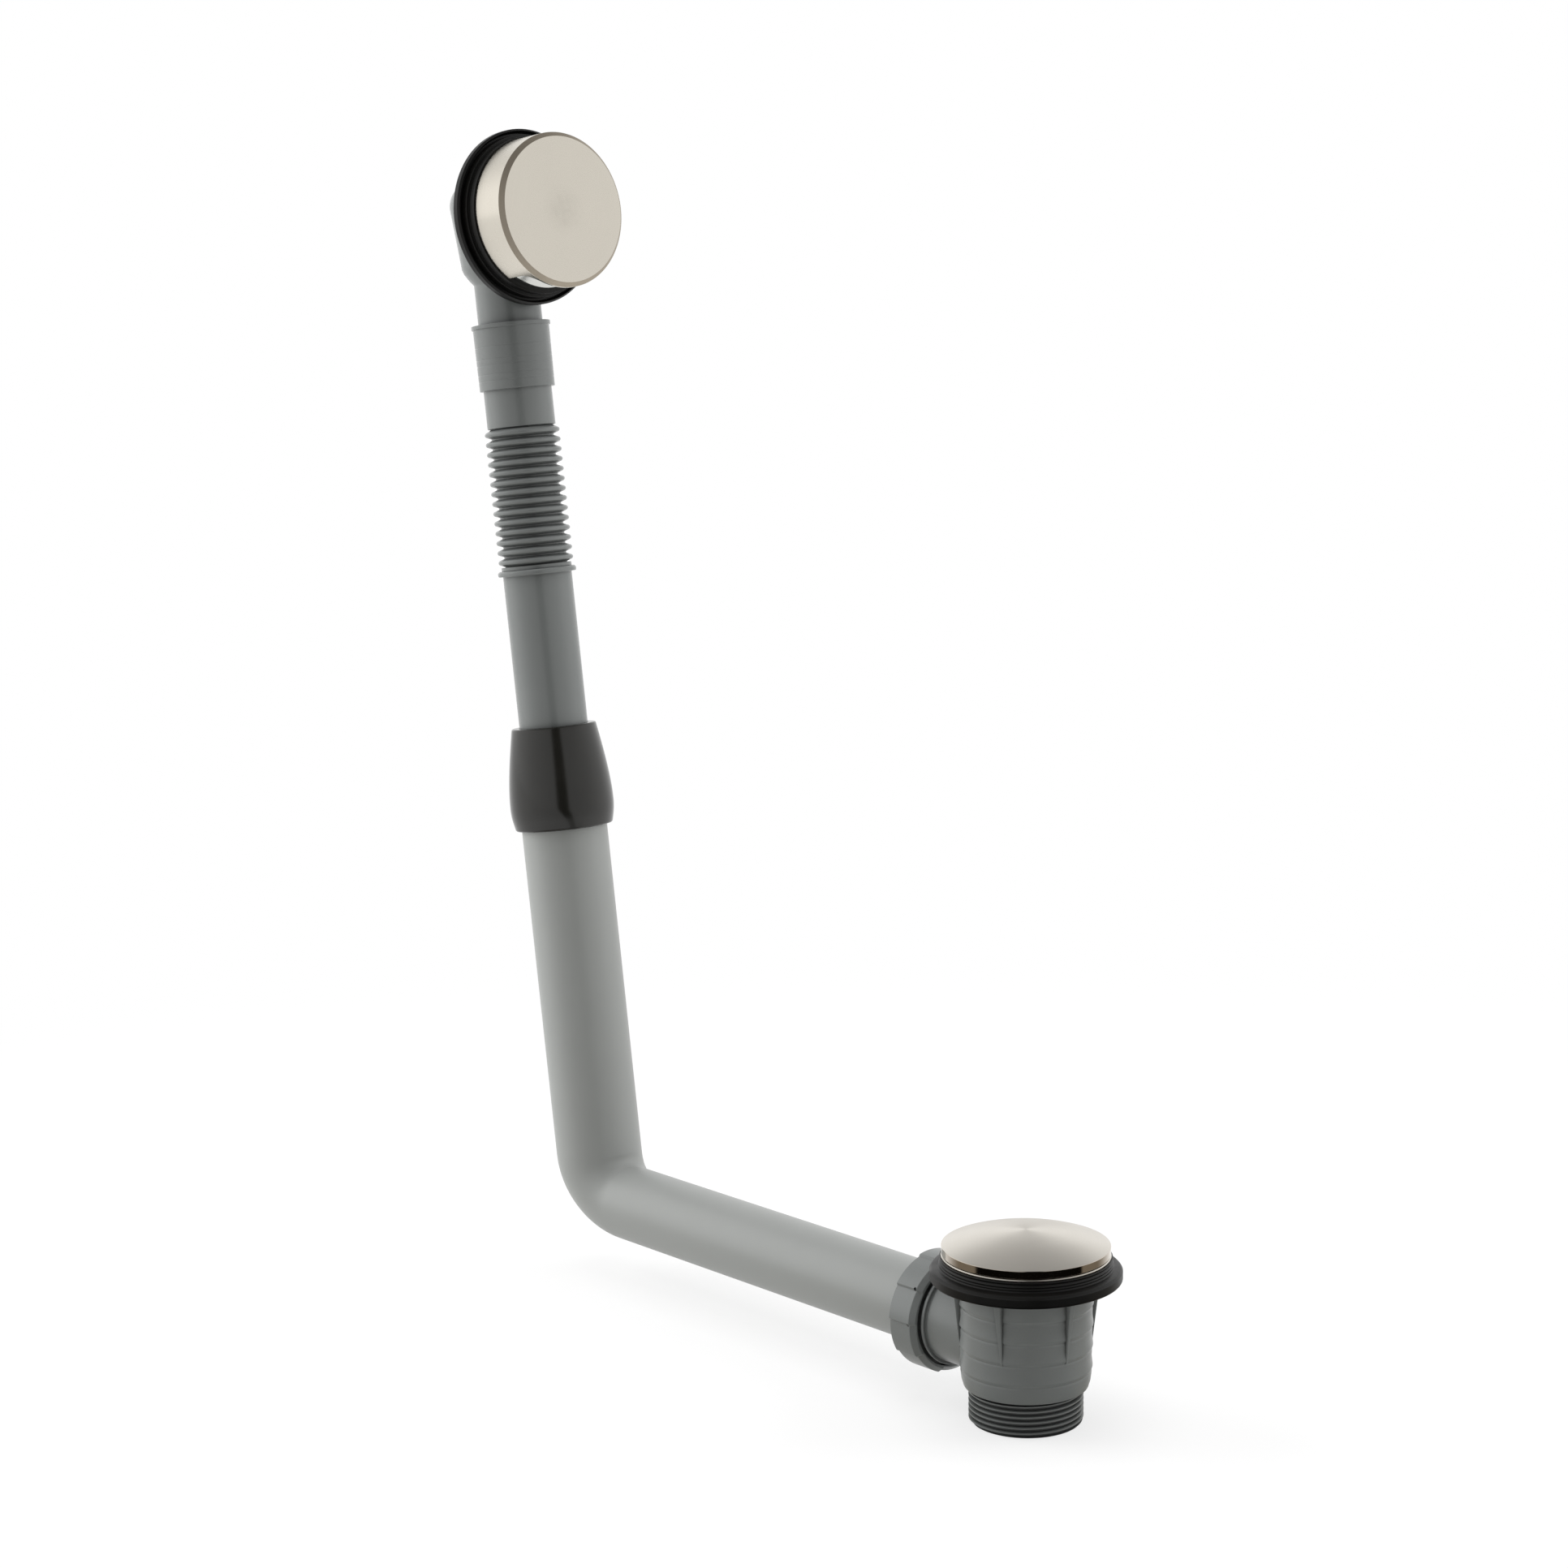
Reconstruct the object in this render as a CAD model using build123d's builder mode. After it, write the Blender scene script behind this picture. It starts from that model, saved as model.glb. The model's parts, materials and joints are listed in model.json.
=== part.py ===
# Bath waste and overflow: a click plug waste, a union, a long bend pipe, and a telescopic flexible
# pipe that carries the overflow head. Millimetres. The origin is the centre of the waste flange's
# underside, where the flange seats on the bath floor. +Z is up, the bend pipe runs along -X, and
# the overflow head faces +X, back over the bath.

import os
from math import cos, radians, sin, sqrt, tan

from build123d import *

os.makedirs("parts", exist_ok=True)

# Fits
seat_gap = 0.05  # round faces that seat on each other
slide_gap = 0.2  # round faces that slide or turn in each other
rest_gap = 0.2  # faces of moving pieces that meet at rest

# Waste flange
flange_radius = 35.2
flange_rim = 1.0
flange_wall = 1.2
flange_hole_radius = 27.0  # of the spigot that drops into the bath's hole
seat_depth = 1.0  # of the plug's seat under the bath floor
tail_radius = 22.5
tail_wall = 1.8
tail_length = 15.0
bridge_thickness = 3.0
spoke_count = 3
spoke_width = 4.0
boss_wall = 3.0

# Plug and click mechanism
plug_radius = 35.0
plug_lift = 0.3  # of the skirt over the rim when closed
skirt_height = 3.3
skirt_wall = 1.8
dome_rise = 6.5
dome_thread_radius = 3.0
dome_thread_depth = 4.0
plug_travel = 8.0
seal_thickness = 2.5
seal_overhang = 0.4  # of the seat's edge past the seal
carrier_hub_radius = 17.0
carrier_lip = 1.2
carrier_flange = 1.5
stem_radius = 4.0
stem_head_length = 3.0
barrel_radius = 6.5
barrel_wall = 1.3
barrel_collar_radius = 8.5
barrel_collar_height = 2.5
barrel_nose_height = 4.5
barrel_nose_wall = 1.5
spring_wire = 1.0
spring_turns = 4.5
spring_length = 12.0  # with the plug closed

# Waste gaskets
flange_seal_overhang = 0.6  # outside the flange's rim
flange_seal_thickness = 2.4
gasket_ring_step = 0.3  # of the body's flange past the ring
gasket_ring_thickness = 2.6
gasket_lip_wall = 3.1
gasket_lip_drop = 4.8  # of the lip under the body's flange face
gasket_lip_slope = 0.9
gasket_bore_gap = 0.3

# Waste body
body_flange_radius = 36.5
body_flange_thickness = 2.5
body_top_radius = 27.5
body_foot_radius = 26.8
body_wall = 3.0
body_height = 50.4  # from the flange face down to the outlet's shoulder
body_chamfer = 3.0
shoulder_radius = 25.9
outlet_radius = 23.9
outlet_length = 15.3
outlet_bore_radius = 20.0
outlet_chamfer = 1.0
outlet_relief = 1.2  # groove between the shoulder and the thread
outlet_relief_depth = 1.5
chamber_floor_rise = 3.0
bead_count = 4
bead_first = 15.3  # below the flange face
bead_rest = 4.8  # from the last bead to the cup's chamfer
bead_height = 0.5
bead_width = 2.2
fin_count = 6
fin_turn = -8.0
fin_radius = 31.2
fin_thickness = 1.4
fin_height = 30.5  # from the flange down to where the fin runs out on the cup

# Branch and union
branch_radius = 20.0
branch_drop = 35.6  # of the pipe's axis under the bath floor
branch_ring_radius = 21.5
branch_ring_length = 1.5
branch_groove = 2.5  # between the ring and the thread
branch_thread_radius = 22.4
branch_thread_length = 8.4
branch_reach = 51.4  # from the waste axis
branch_mouth_depth = 3.4
branch_mouth_flare = 2.2
branch_socket_depth = 13.4  # from the branch's end to the pipe's stop
nut_grip_wall = 3.4  # outside the thread, at the grips' tops
nut_step = 0.9
nut_grips = 10
nut_length = 14.6
nut_wall = 2.2
slip_ring_thickness = 1.0
ring_flange = 1.4

# Pipes
leg_radius = 17.3  # horizontal leg of the bend pipe
riser_radius = 20.1  # upright leg of the bend pipe
pipe_wall = 1.9
corner_reach = 278.6  # from the waste axis to where the two legs' axes cross
bend_radius = 24.0
lean = 7.6  # degrees, of the riser away from the waste
riser_length = 204.0  # from the corner
sleeve_grip = 28.0  # of the riser's end inside the sleeve
sleeve_length = 48.0
sleeve_foot_wall = 2.7  # outside the riser
sleeve_swell_wall = 4.3
sleeve_swell_height = 11.0
sleeve_flank_wall = 2.6  # halfway from the swell to the top
sleeve_top_wall = 3.7  # outside the tube
tube_radius = 16.1
tube_wall = 1.9
tube_insertion = 104.0  # of the tube inside the riser
tube_showing = 71.3  # between the sleeve and the collar
collar_height = 2.5
collar_radius = 18.3
tube_spigot_wall = 1.3
tube_spigot_length = 8.0

# Flexible hose
rib_count = 14
rib_pitch = 4.585
rib_depth = 2.9
hose_bore_radius = 13.4
hose_root_wall = 1.2
hose_cuff_wall = 3.0
hose_cuff_length = 1.8
hose_neck_wall = 2.5
hose_neck_length = 18.0
socket_wall = 2.3  # at the socket's foot
socket_flare = 0.3
socket_lip_step = 0.6
socket_lip_height = 1.8
socket_length = 30.3
socket_floor = 3.0
spigot_seal_height = 2.6
spigot_seal_depth = 1.2
spigot_seal_drop = 10.0  # under the socket's mouth

# Overflow head
spigot_radius = 15.0
spigot_wall = 2.2
spigot_showing = 19.5  # between the hose's socket and the hood
hood_height = 27.0  # from the hood's foot to where the overflow's axis crosses the riser's
hood_foot_step = 3.8  # outside the spigot
hood_radius = 22.3
hood_wall = 2.8
elbow_flange_radius = 34.0
elbow_flange_front = 18.6  # in front of the riser's axis
elbow_flange_thickness = 3.0
insert_radius = 4.0
insert_length = 12.0
insert_boss_wall = 1.8
insert_boss_front = 13.0
screw_radius = 2.8
screw_head_radius = 5.5
screw_head_height = 3.0
head_gasket_bore_radius = 21.0
head_gasket_lip_radius = 40.2
head_gasket_lip_thickness = 4.3
head_gasket_lip_slope = 0.8
head_gasket_step_radius = 37.2
head_gasket_step = 2.3
head_gasket_ridge_radius = 35.9
head_gasket_ridge = 3.8
grid_thickness = 2.5
grid_rim_height = 4.0
grid_rim_wall = 1.5
grid_hole_count = 6
grid_hole_radius = 6.5
grid_hole_circle = 20.5
cap_radius = 35.1
cap_wall = 1.5
cap_front = 2.0
cap_depth = 19.3
cap_bevel = 2.0
notch_width = 41.0
notch_depth = 16.0
notch_corner = 6.0

# Places that follow from these sizes
body_top = -flange_seal_thickness - gasket_ring_thickness
shoulder_level = body_top - body_height
outlet_level = shoulder_level - outlet_length
chamber_radius = body_foot_radius - body_wall
tail_bore_radius = tail_radius - tail_wall
barrel_bore_radius = barrel_radius - barrel_wall
boss_radius = barrel_radius + boss_wall
dome_edge = flange_rim + plug_lift + skirt_height
seal_foot = rest_gap - seat_depth
cone_rise = flange_wall * sqrt(2)  # the flange's dish falls at 45 degrees
seat_radius = flange_hole_radius - seat_depth - cone_rise
thread_foot_reach = branch_reach - branch_thread_length
branch_ring_reach = thread_foot_reach - branch_groove
pipe_stop_reach = branch_reach - branch_socket_depth
riser_up = Vector(-sin(radians(lean)), 0, cos(radians(lean)))
head_front = Vector(cos(radians(lean)), 0, sin(radians(lean)))
corner = Vector(-corner_reach, 0, -branch_drop)

# Stations along the riser's axis, from the corner
sleeve_foot = riser_length - sleeve_grip
sleeve_top = sleeve_foot + sleeve_length
tube_foot = riser_length - tube_insertion
collar_station = sleeve_top + tube_showing
hose_station = collar_station + collar_height
bellows_station = hose_station + hose_cuff_length
neck_station = bellows_station + rib_count * rib_pitch
socket_station = neck_station + hose_neck_length
socket_mouth = socket_station + socket_length
hood_foot_station = socket_mouth + spigot_showing
head_station = hood_foot_station + hood_height
head_centre = corner + riser_up * head_station

# Distances in front of the riser's axis, along the overflow's
gasket_front = (
    elbow_flange_front + head_gasket_lip_thickness + head_gasket_step + head_gasket_ridge
)
cap_back = gasket_front + rest_gap
grid_front = cap_back + grid_thickness
cap_bore_radius = cap_radius - cap_wall

# Profile planes hold (radius, height along the axis); each has the axis that it turns about
waste_profile, waste_axis = Plane.XZ, Axis.Z
branch_profile = Plane(origin=(0, 0, -branch_drop), x_dir=(0, 0, 1), z_dir=(0, 1, 0))
branch_axis = Axis((0, 0, -branch_drop), (1, 0, 0))
branch_plane = Plane(origin=(0, 0, -branch_drop), x_dir=(0, 1, 0), z_dir=(1, 0, 0))
riser_profile = Plane(origin=corner, x_dir=head_front, z_dir=(0, -1, 0))
riser_axis = Axis(corner, riser_up)
head_profile = Plane(origin=head_centre, x_dir=riser_up, z_dir=(0, 1, 0))
head_axis = Axis(head_centre, head_front)
head_plane = Plane(origin=head_centre, x_dir=(0, 1, 0), z_dir=head_front)


def write_part(piece, name):
    piece.part.label = name
    export_step(piece.part, f"parts/{name}.step")


# Waste flange: rim, 45 degree dish, seat for the plug, threaded tail and a spoked bridge
with BuildPart() as waste_flange:
    with BuildSketch(waste_profile):
        with BuildLine():
            Polyline(
                (flange_hole_radius, 0),
                (flange_radius, 0),
                (flange_radius, flange_rim),
                (flange_hole_radius + flange_rim - cone_rise, flange_rim),
                (seat_radius, -seat_depth),
                (tail_bore_radius, -seat_depth),
                (tail_bore_radius, -tail_length),
                (tail_radius, -tail_length),
                (tail_radius, tail_radius - flange_hole_radius),
                close=True,
            )
        make_face()
    revolve(axis=waste_axis)
    with BuildSketch(Plane.XY.offset(-tail_length)):
        Circle(boss_radius)
        with PolarLocations(0, spoke_count):
            with Locations((tail_bore_radius / 2, 0)):
                Rectangle(tail_bore_radius + tail_wall / 2, spoke_width)
        Circle(barrel_radius + seat_gap, mode=Mode.SUBTRACT)
    extrude(amount=bridge_thickness)
write_part(waste_flange, "waste_flange")

# Plug dome: a solid turned cap with a short skirt, and a blind thread for the stem
with BuildPart() as plug_dome:
    with BuildSketch(waste_profile):
        with BuildLine():
            cap_radius_of_curve = (plug_radius**2 + dome_rise**2) / (2 * dome_rise)
            RadiusArc((plug_radius, dome_edge), (0, dome_edge + dome_rise), -cap_radius_of_curve)
            Polyline(
                (0, dome_edge + dome_rise),
                (0, dome_edge + dome_thread_depth),
                (dome_thread_radius, dome_edge + dome_thread_depth),
                (dome_thread_radius, dome_edge),
                (plug_radius - skirt_wall, dome_edge),
                (plug_radius - skirt_wall, dome_edge - skirt_height),
                (plug_radius, dome_edge - skirt_height),
                (plug_radius, dome_edge),
            )
        make_face()
    revolve(axis=waste_axis)
write_part(plug_dome, "plug_dome")

# Plug carrier: a spool, flat against the dome, whose lower lip keeps the seal on
seal_top = seal_foot + seal_thickness
carrier_lip_radius = tail_bore_radius - 2 * slide_gap
with BuildPart() as plug_carrier:
    with BuildSketch(waste_profile):
        with BuildLine():
            Polyline(
                (stem_radius + seat_gap, dome_edge),
                (barrel_collar_radius, dome_edge),
                (barrel_collar_radius, seal_top + carrier_flange),
                (seat_radius, seal_top + carrier_flange),
                (seat_radius, seal_top),
                (carrier_hub_radius, seal_top),
                (carrier_hub_radius, seal_foot),
                (carrier_lip_radius, seal_foot),
                (carrier_lip_radius - carrier_lip / 2, seal_foot - carrier_lip),
                (stem_radius + seat_gap, seal_foot - carrier_lip),
                close=True,
            )
        make_face()
    revolve(axis=waste_axis)
write_part(plug_carrier, "plug_carrier")

# Plug seal: a flat rubber washer over the seat
with BuildPart() as plug_seal:
    with BuildSketch(Plane.XY.offset(seal_foot)):
        Circle(seat_radius - seal_overhang)
        Circle(carrier_hub_radius + seat_gap, mode=Mode.SUBTRACT)
    extrude(amount=seal_thickness)
write_part(plug_seal, "plug_seal")

# Cartridge barrel: screwed through the bridge, its collar on the bridge's boss
boss_top = bridge_thickness - tail_length
nose_top = boss_top + barrel_collar_height + barrel_nose_height
stem_head_top = nose_top - barrel_nose_wall - plug_travel - rest_gap
spring_foot = stem_head_top - stem_head_length - rest_gap - spring_length
barrel_foot = spring_foot - rest_gap - barrel_wall
with BuildPart() as cartridge_barrel:
    with BuildSketch(waste_profile):
        with BuildLine():
            Polyline(
                (0, barrel_foot),
                (barrel_radius, barrel_foot),
                (barrel_radius, boss_top),
                (barrel_collar_radius, boss_top),
                (barrel_collar_radius, boss_top + barrel_collar_height),
                (barrel_radius, boss_top + barrel_collar_height),
                (barrel_radius, nose_top),
                (stem_radius + slide_gap, nose_top),
                (stem_radius + slide_gap, nose_top - barrel_nose_wall),
                (barrel_bore_radius, nose_top - barrel_nose_wall),
                (barrel_bore_radius, barrel_foot + barrel_wall),
                (0, barrel_foot + barrel_wall),
                close=True,
            )
        make_face()
    revolve(axis=waste_axis)
write_part(cartridge_barrel, "cartridge_barrel")

# Plug stem: screwed in the dome, with a head that stops in the barrel
stem_head_radius = barrel_bore_radius - 2 * slide_gap
with BuildPart() as plug_stem:
    with BuildSketch(waste_profile):
        with BuildLine():
            Polyline(
                (0, dome_edge + dome_thread_depth - rest_gap),
                (dome_thread_radius - seat_gap, dome_edge + dome_thread_depth - rest_gap),
                (dome_thread_radius - seat_gap, dome_edge),
                (stem_radius, dome_edge),
                (stem_radius, stem_head_top),
                (stem_head_radius, stem_head_top),
                (stem_head_radius, stem_head_top - stem_head_length),
                (0, stem_head_top - stem_head_length),
                close=True,
            )
        make_face()
    revolve(axis=waste_axis)
write_part(plug_stem, "plug_stem")

# Plug spring: square wire, between the barrel's floor and the stem's head
spring_radius = barrel_bore_radius - slide_gap - spring_wire / 2
spring_rise = spring_length - spring_wire
with BuildPart() as plug_spring:
    with BuildLine(Plane.XY.offset(spring_foot + spring_wire / 2)) as spring_path:
        Helix(pitch=spring_rise / spring_turns, height=spring_rise, radius=spring_radius)
    with BuildSketch(Plane(origin=spring_path.line @ 0, x_dir=(1, 0, 0), z_dir=spring_path.line % 0)):
        Rectangle(spring_wire, spring_wire)
    sweep(path=spring_path.line, is_frenet=True)
write_part(plug_spring, "plug_spring")

# Flange seal: a washer between the rim and the bath floor
with BuildPart() as flange_seal:
    with BuildSketch(Plane.XY.offset(-flange_seal_thickness)):
        Circle(flange_radius + flange_seal_overhang)
        Circle(flange_hole_radius + gasket_bore_gap, mode=Mode.SUBTRACT)
    extrude(amount=flange_seal_thickness)
write_part(flange_seal, "flange_seal")

# Body gasket: a ring on the body's flange, with a thick lip that hangs over its edge
gasket_ring_radius = body_flange_radius - gasket_ring_step
lip_bore_radius = body_flange_radius + gasket_bore_gap
gasket_lip_radius = lip_bore_radius + gasket_lip_wall
lip_top = body_top + gasket_ring_thickness / 4
lip_foot = body_top - gasket_lip_drop
with BuildPart() as body_gasket:
    with BuildSketch(waste_profile):
        with BuildLine():
            Polyline(
                (flange_hole_radius + gasket_bore_gap, body_top),
                (flange_hole_radius + gasket_bore_gap, -flange_seal_thickness),
                (gasket_ring_radius, -flange_seal_thickness),
                (gasket_ring_radius, lip_top),
                (gasket_lip_radius - gasket_lip_slope, lip_top - gasket_lip_slope / 2),
                (gasket_lip_radius, lip_top - gasket_lip_slope),
                (gasket_lip_radius, lip_foot + gasket_lip_slope / 2),
                (gasket_lip_radius - gasket_lip_slope / 2, lip_foot),
                (lip_bore_radius, lip_foot),
                (lip_bore_radius, body_top),
                close=True,
            )
        make_face()
    revolve(axis=waste_axis)
write_part(body_gasket, "body_gasket")

# Waste body: flange, tapered cup with ring beads and fins, branch, and threaded outlet
chamfer_level = shoulder_level + body_chamfer
cup_top = body_top - body_flange_thickness
cup_taper = (body_top_radius - body_foot_radius) / (cup_top - chamfer_level)
fin_foot_radius = body_top_radius - cup_taper * fin_height
bead_pitch = (body_height - body_chamfer - bead_first - bead_rest) / (bead_count - 1)
with BuildPart() as waste_body:
    with BuildSketch(waste_profile):
        with BuildLine():
            bead_points = []
            for bead in range(bead_count):
                bead_level = body_top - bead_first - bead * bead_pitch
                bead_radius = body_top_radius - cup_taper * (cup_top - bead_level)
                bead_points += [
                    (bead_radius, bead_level + bead_width / 2),
                    (bead_radius + bead_height, bead_level),
                    (bead_radius, bead_level - bead_width / 2),
                ]
            Polyline(
                (0, body_top),
                (body_flange_radius, body_top),
                (body_flange_radius, cup_top),
                (body_top_radius, cup_top),
                *bead_points,
                (body_foot_radius, chamfer_level),
                (shoulder_radius, shoulder_level),
                (outlet_radius - outlet_relief_depth, shoulder_level),
                (outlet_radius - outlet_relief_depth, shoulder_level - outlet_relief),
                (outlet_radius, shoulder_level - outlet_relief),
                (outlet_radius, outlet_level + outlet_chamfer),
                (outlet_radius - outlet_chamfer, outlet_level),
                (0, outlet_level),
                close=True,
            )
        make_face()
    revolve(axis=waste_axis)
    for fin in range(fin_count):
        fin_angle = radians(fin_turn + fin * 360 / fin_count)
        fin_plane = Plane(
            origin=(0, 0, 0),
            x_dir=(cos(fin_angle), sin(fin_angle), 0),
            z_dir=(sin(fin_angle), -cos(fin_angle), 0),
        )
        with BuildSketch(fin_plane):
            with BuildLine():
                Polyline(
                    (chamber_radius + body_wall / 2, cup_top),
                    (fin_radius, cup_top),
                    (fin_foot_radius, cup_top - fin_height),
                    (chamber_radius + body_wall / 2, cup_top - fin_height),
                    close=True,
                )
            make_face()
        extrude(amount=fin_thickness / 2, both=True)
    with BuildSketch(branch_profile):
        with BuildLine():
            Polyline(
                (0, -chamber_radius / 2),
                (branch_radius, -chamber_radius / 2),
                (branch_radius, branch_ring_length - branch_ring_reach),
                (branch_ring_radius, branch_ring_length - branch_ring_reach),
                (branch_ring_radius, -branch_ring_reach),
                (branch_radius, -branch_ring_reach),
                (branch_radius, -thread_foot_reach),
                (branch_thread_radius, -thread_foot_reach),
                (branch_thread_radius, -branch_reach),
                (0, -branch_reach),
                close=True,
            )
        make_face()
    revolve(axis=branch_axis)
    with BuildSketch(waste_profile):
        with BuildLine():
            Polyline(
                (0, body_top),
                (tail_radius + slide_gap, body_top),
                (tail_radius + slide_gap, -tail_length),
                (chamber_radius, tail_radius - chamber_radius - tail_length),
                (chamber_radius, shoulder_level + 2 * chamber_floor_rise),
                (outlet_bore_radius, shoulder_level + chamber_floor_rise),
                (outlet_bore_radius, outlet_level),
                (0, outlet_level),
                close=True,
            )
        make_face()
    revolve(axis=waste_axis, mode=Mode.SUBTRACT)
    with BuildSketch(branch_profile):
        with BuildLine():
            Polyline(
                (0, 0),
                (leg_radius - pipe_wall, 0),
                (leg_radius - pipe_wall, -pipe_stop_reach),
                (leg_radius + slide_gap, -pipe_stop_reach),
                (leg_radius + slide_gap, branch_mouth_depth - branch_reach),
                (leg_radius + slide_gap + branch_mouth_flare, -branch_reach),
                (0, -branch_reach),
                close=True,
            )
        make_face()
    revolve(axis=branch_axis, mode=Mode.SUBTRACT)
write_part(waste_body, "waste_body")

# Compression ring: a rubber wedge in the branch's mouth, with a flange on its end face
ring_back = -branch_reach - ring_flange
with BuildPart() as compression_ring:
    with BuildSketch(branch_profile):
        with BuildLine():
            Polyline(
                (leg_radius + seat_gap, ring_back),
                (branch_thread_radius - slide_gap, ring_back),
                (branch_thread_radius - slide_gap, -branch_reach),
                (leg_radius + branch_mouth_flare, -branch_reach),
                (leg_radius + slide_gap / 2, branch_mouth_depth - branch_reach),
                (leg_radius + seat_gap, branch_mouth_depth - branch_reach),
                close=True,
            )
        make_face()
    revolve(axis=branch_axis)
write_part(compression_ring, "compression_ring")

# Slip ring: a plastic washer that lets the nut turn on the rubber
slip_ring_back = ring_back - slip_ring_thickness
with BuildPart() as slip_ring:
    with BuildSketch(branch_plane.offset(slip_ring_back)):
        Circle(branch_thread_radius)
        Circle(leg_radius + slide_gap, mode=Mode.SUBTRACT)
    extrude(amount=slip_ring_thickness)
write_part(slip_ring, "slip_ring")

# Union nut: ratchet grips round the outside, bored for the branch's thread and the pipe
nut_back = slip_ring_back - nut_wall
nut_radius = branch_thread_radius + nut_grip_wall
grip_angle = 360 / nut_grips
with BuildPart() as union_nut:
    with BuildSketch(branch_plane.offset(nut_back)):
        with BuildLine():
            for grip in range(nut_grips):
                low = Vector(nut_radius - nut_step, 0).rotate(Axis.Z, grip * grip_angle)
                middle = Vector(nut_radius - nut_step / 2, 0).rotate(Axis.Z, (grip + 0.5) * grip_angle)
                high = Vector(nut_radius, 0).rotate(Axis.Z, (grip + 1) * grip_angle)
                ThreePointArc(low, middle, high)
                Line(high, high.normalized() * (nut_radius - nut_step))
        make_face()
        Circle(leg_radius + slide_gap, mode=Mode.SUBTRACT)
    extrude(amount=nut_length)
    with BuildSketch(branch_plane.offset(slip_ring_back)):
        Circle(branch_thread_radius + seat_gap)
    extrude(amount=nut_length, mode=Mode.SUBTRACT)
write_part(union_nut, "union_nut")

# Bend pipe: a horizontal leg, a tight bend that opens out, and the leaning riser
bend_reach = bend_radius * tan(radians((90 - lean) / 2))
leg_end = Vector(-pipe_stop_reach - rest_gap, 0, -branch_drop)
bend_start = corner + Vector(bend_reach, 0, 0)
bend_end = corner + riser_up * bend_reach
leg_plane = Plane(origin=leg_end, x_dir=(0, 1, 0), z_dir=(-1, 0, 0))
bend_plane = Plane(origin=bend_start, x_dir=(0, 1, 0), z_dir=(-1, 0, 0))
riser_plane = Plane(origin=bend_end, x_dir=(0, 1, 0), z_dir=riser_up)
with BuildPart() as bend_pipe:
    for wall, mode in ((0, Mode.ADD), (pipe_wall, Mode.SUBTRACT)):
        with BuildSketch(leg_plane):
            Circle(leg_radius - wall)
        extrude(amount=leg_end.X - bend_start.X, mode=mode)
        with BuildLine() as bend_path:
            TangentArc(bend_start, bend_end, tangent=(-1, 0, 0))
        with BuildSketch(bend_plane):
            Circle(leg_radius - wall)
        with BuildSketch(riser_plane):
            Circle(riser_radius - wall)
        sweep(path=bend_path.line, multisection=True, mode=mode)
        with BuildSketch(riser_plane):
            Circle(riser_radius - wall)
        extrude(amount=riser_length - bend_reach, mode=mode)
write_part(bend_pipe, "bend_pipe")

# Rubber sleeve: grips the riser below and the telescopic tube above
flank_height = (sleeve_length - sleeve_swell_height) / 2
with BuildPart() as rubber_sleeve:
    with BuildSketch(riser_profile):
        with BuildLine():
            Spline(
                (riser_radius + sleeve_foot_wall, sleeve_foot),
                (riser_radius + sleeve_swell_wall, sleeve_foot + sleeve_swell_height),
                (riser_radius + sleeve_flank_wall, sleeve_top - flank_height),
                (tube_radius + sleeve_top_wall, sleeve_top),
            )
            Polyline(
                (tube_radius + sleeve_top_wall, sleeve_top),
                (tube_radius + slide_gap, sleeve_top),
                (tube_radius + slide_gap, riser_length),
                (riser_radius + seat_gap, riser_length),
                (riser_radius + seat_gap, sleeve_foot),
                (riser_radius + sleeve_foot_wall, sleeve_foot),
            )
        make_face()
    revolve(axis=riser_axis)
write_part(rubber_sleeve, "rubber_sleeve")

# Telescopic tube: slides in the riser, with a stop collar and a spigot for the hose
with BuildPart() as telescopic_tube:
    with BuildSketch(riser_profile):
        with BuildLine():
            Polyline(
                (tube_radius - tube_wall, tube_foot),
                (tube_radius, tube_foot),
                (tube_radius, collar_station),
                (collar_radius, collar_station),
                (collar_radius, hose_station),
                (hose_bore_radius - seat_gap, hose_station),
                (hose_bore_radius - seat_gap, hose_station + tube_spigot_length),
                (hose_bore_radius - tube_spigot_wall, hose_station + tube_spigot_length),
                (hose_bore_radius - tube_spigot_wall, collar_station),
                (tube_radius - tube_wall, collar_station - collar_height),
                close=True,
            )
        make_face()
    revolve(axis=riser_axis)
write_part(telescopic_tube, "telescopic_tube")

# Flexible hose: a cuff, the bellows, a plain neck and the socket, moulded as one
seal_station = socket_mouth - spigot_seal_drop
socket_bore_radius = spigot_radius + slide_gap
socket_mouth_radius = socket_bore_radius + socket_wall + socket_flare
rib_root_radius = hose_bore_radius + hose_root_wall
with BuildPart() as flex_hose:
    with BuildSketch(riser_profile):
        with BuildLine():
            rib_points = []
            for rib in range(rib_count):
                rib_station = bellows_station + rib * rib_pitch
                rib_points += [
                    (rib_root_radius, rib_station),
                    (rib_root_radius + rib_depth, rib_station + rib_pitch / 2),
                ]
            Polyline(
                (hose_bore_radius, hose_station),
                (hose_bore_radius + hose_cuff_wall, hose_station),
                (hose_bore_radius + hose_cuff_wall, bellows_station),
                *rib_points,
                (rib_root_radius, neck_station),
                (hose_bore_radius + hose_neck_wall, neck_station),
                (hose_bore_radius + hose_neck_wall, socket_station),
                (socket_bore_radius + socket_wall, socket_station),
                (socket_mouth_radius, socket_mouth - socket_lip_height),
                (socket_mouth_radius + socket_lip_step, socket_mouth - socket_lip_height),
                (socket_mouth_radius + socket_lip_step, socket_mouth),
                (socket_bore_radius, socket_mouth),
                (socket_bore_radius, seal_station + spigot_seal_height),
                (socket_bore_radius + spigot_seal_depth, seal_station + spigot_seal_height),
                (socket_bore_radius + spigot_seal_depth, seal_station),
                (socket_bore_radius, seal_station),
                (socket_bore_radius, socket_station + socket_floor),
                (hose_bore_radius, socket_station + socket_floor),
                close=True,
            )
        make_face()
    revolve(axis=riser_axis)
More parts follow.
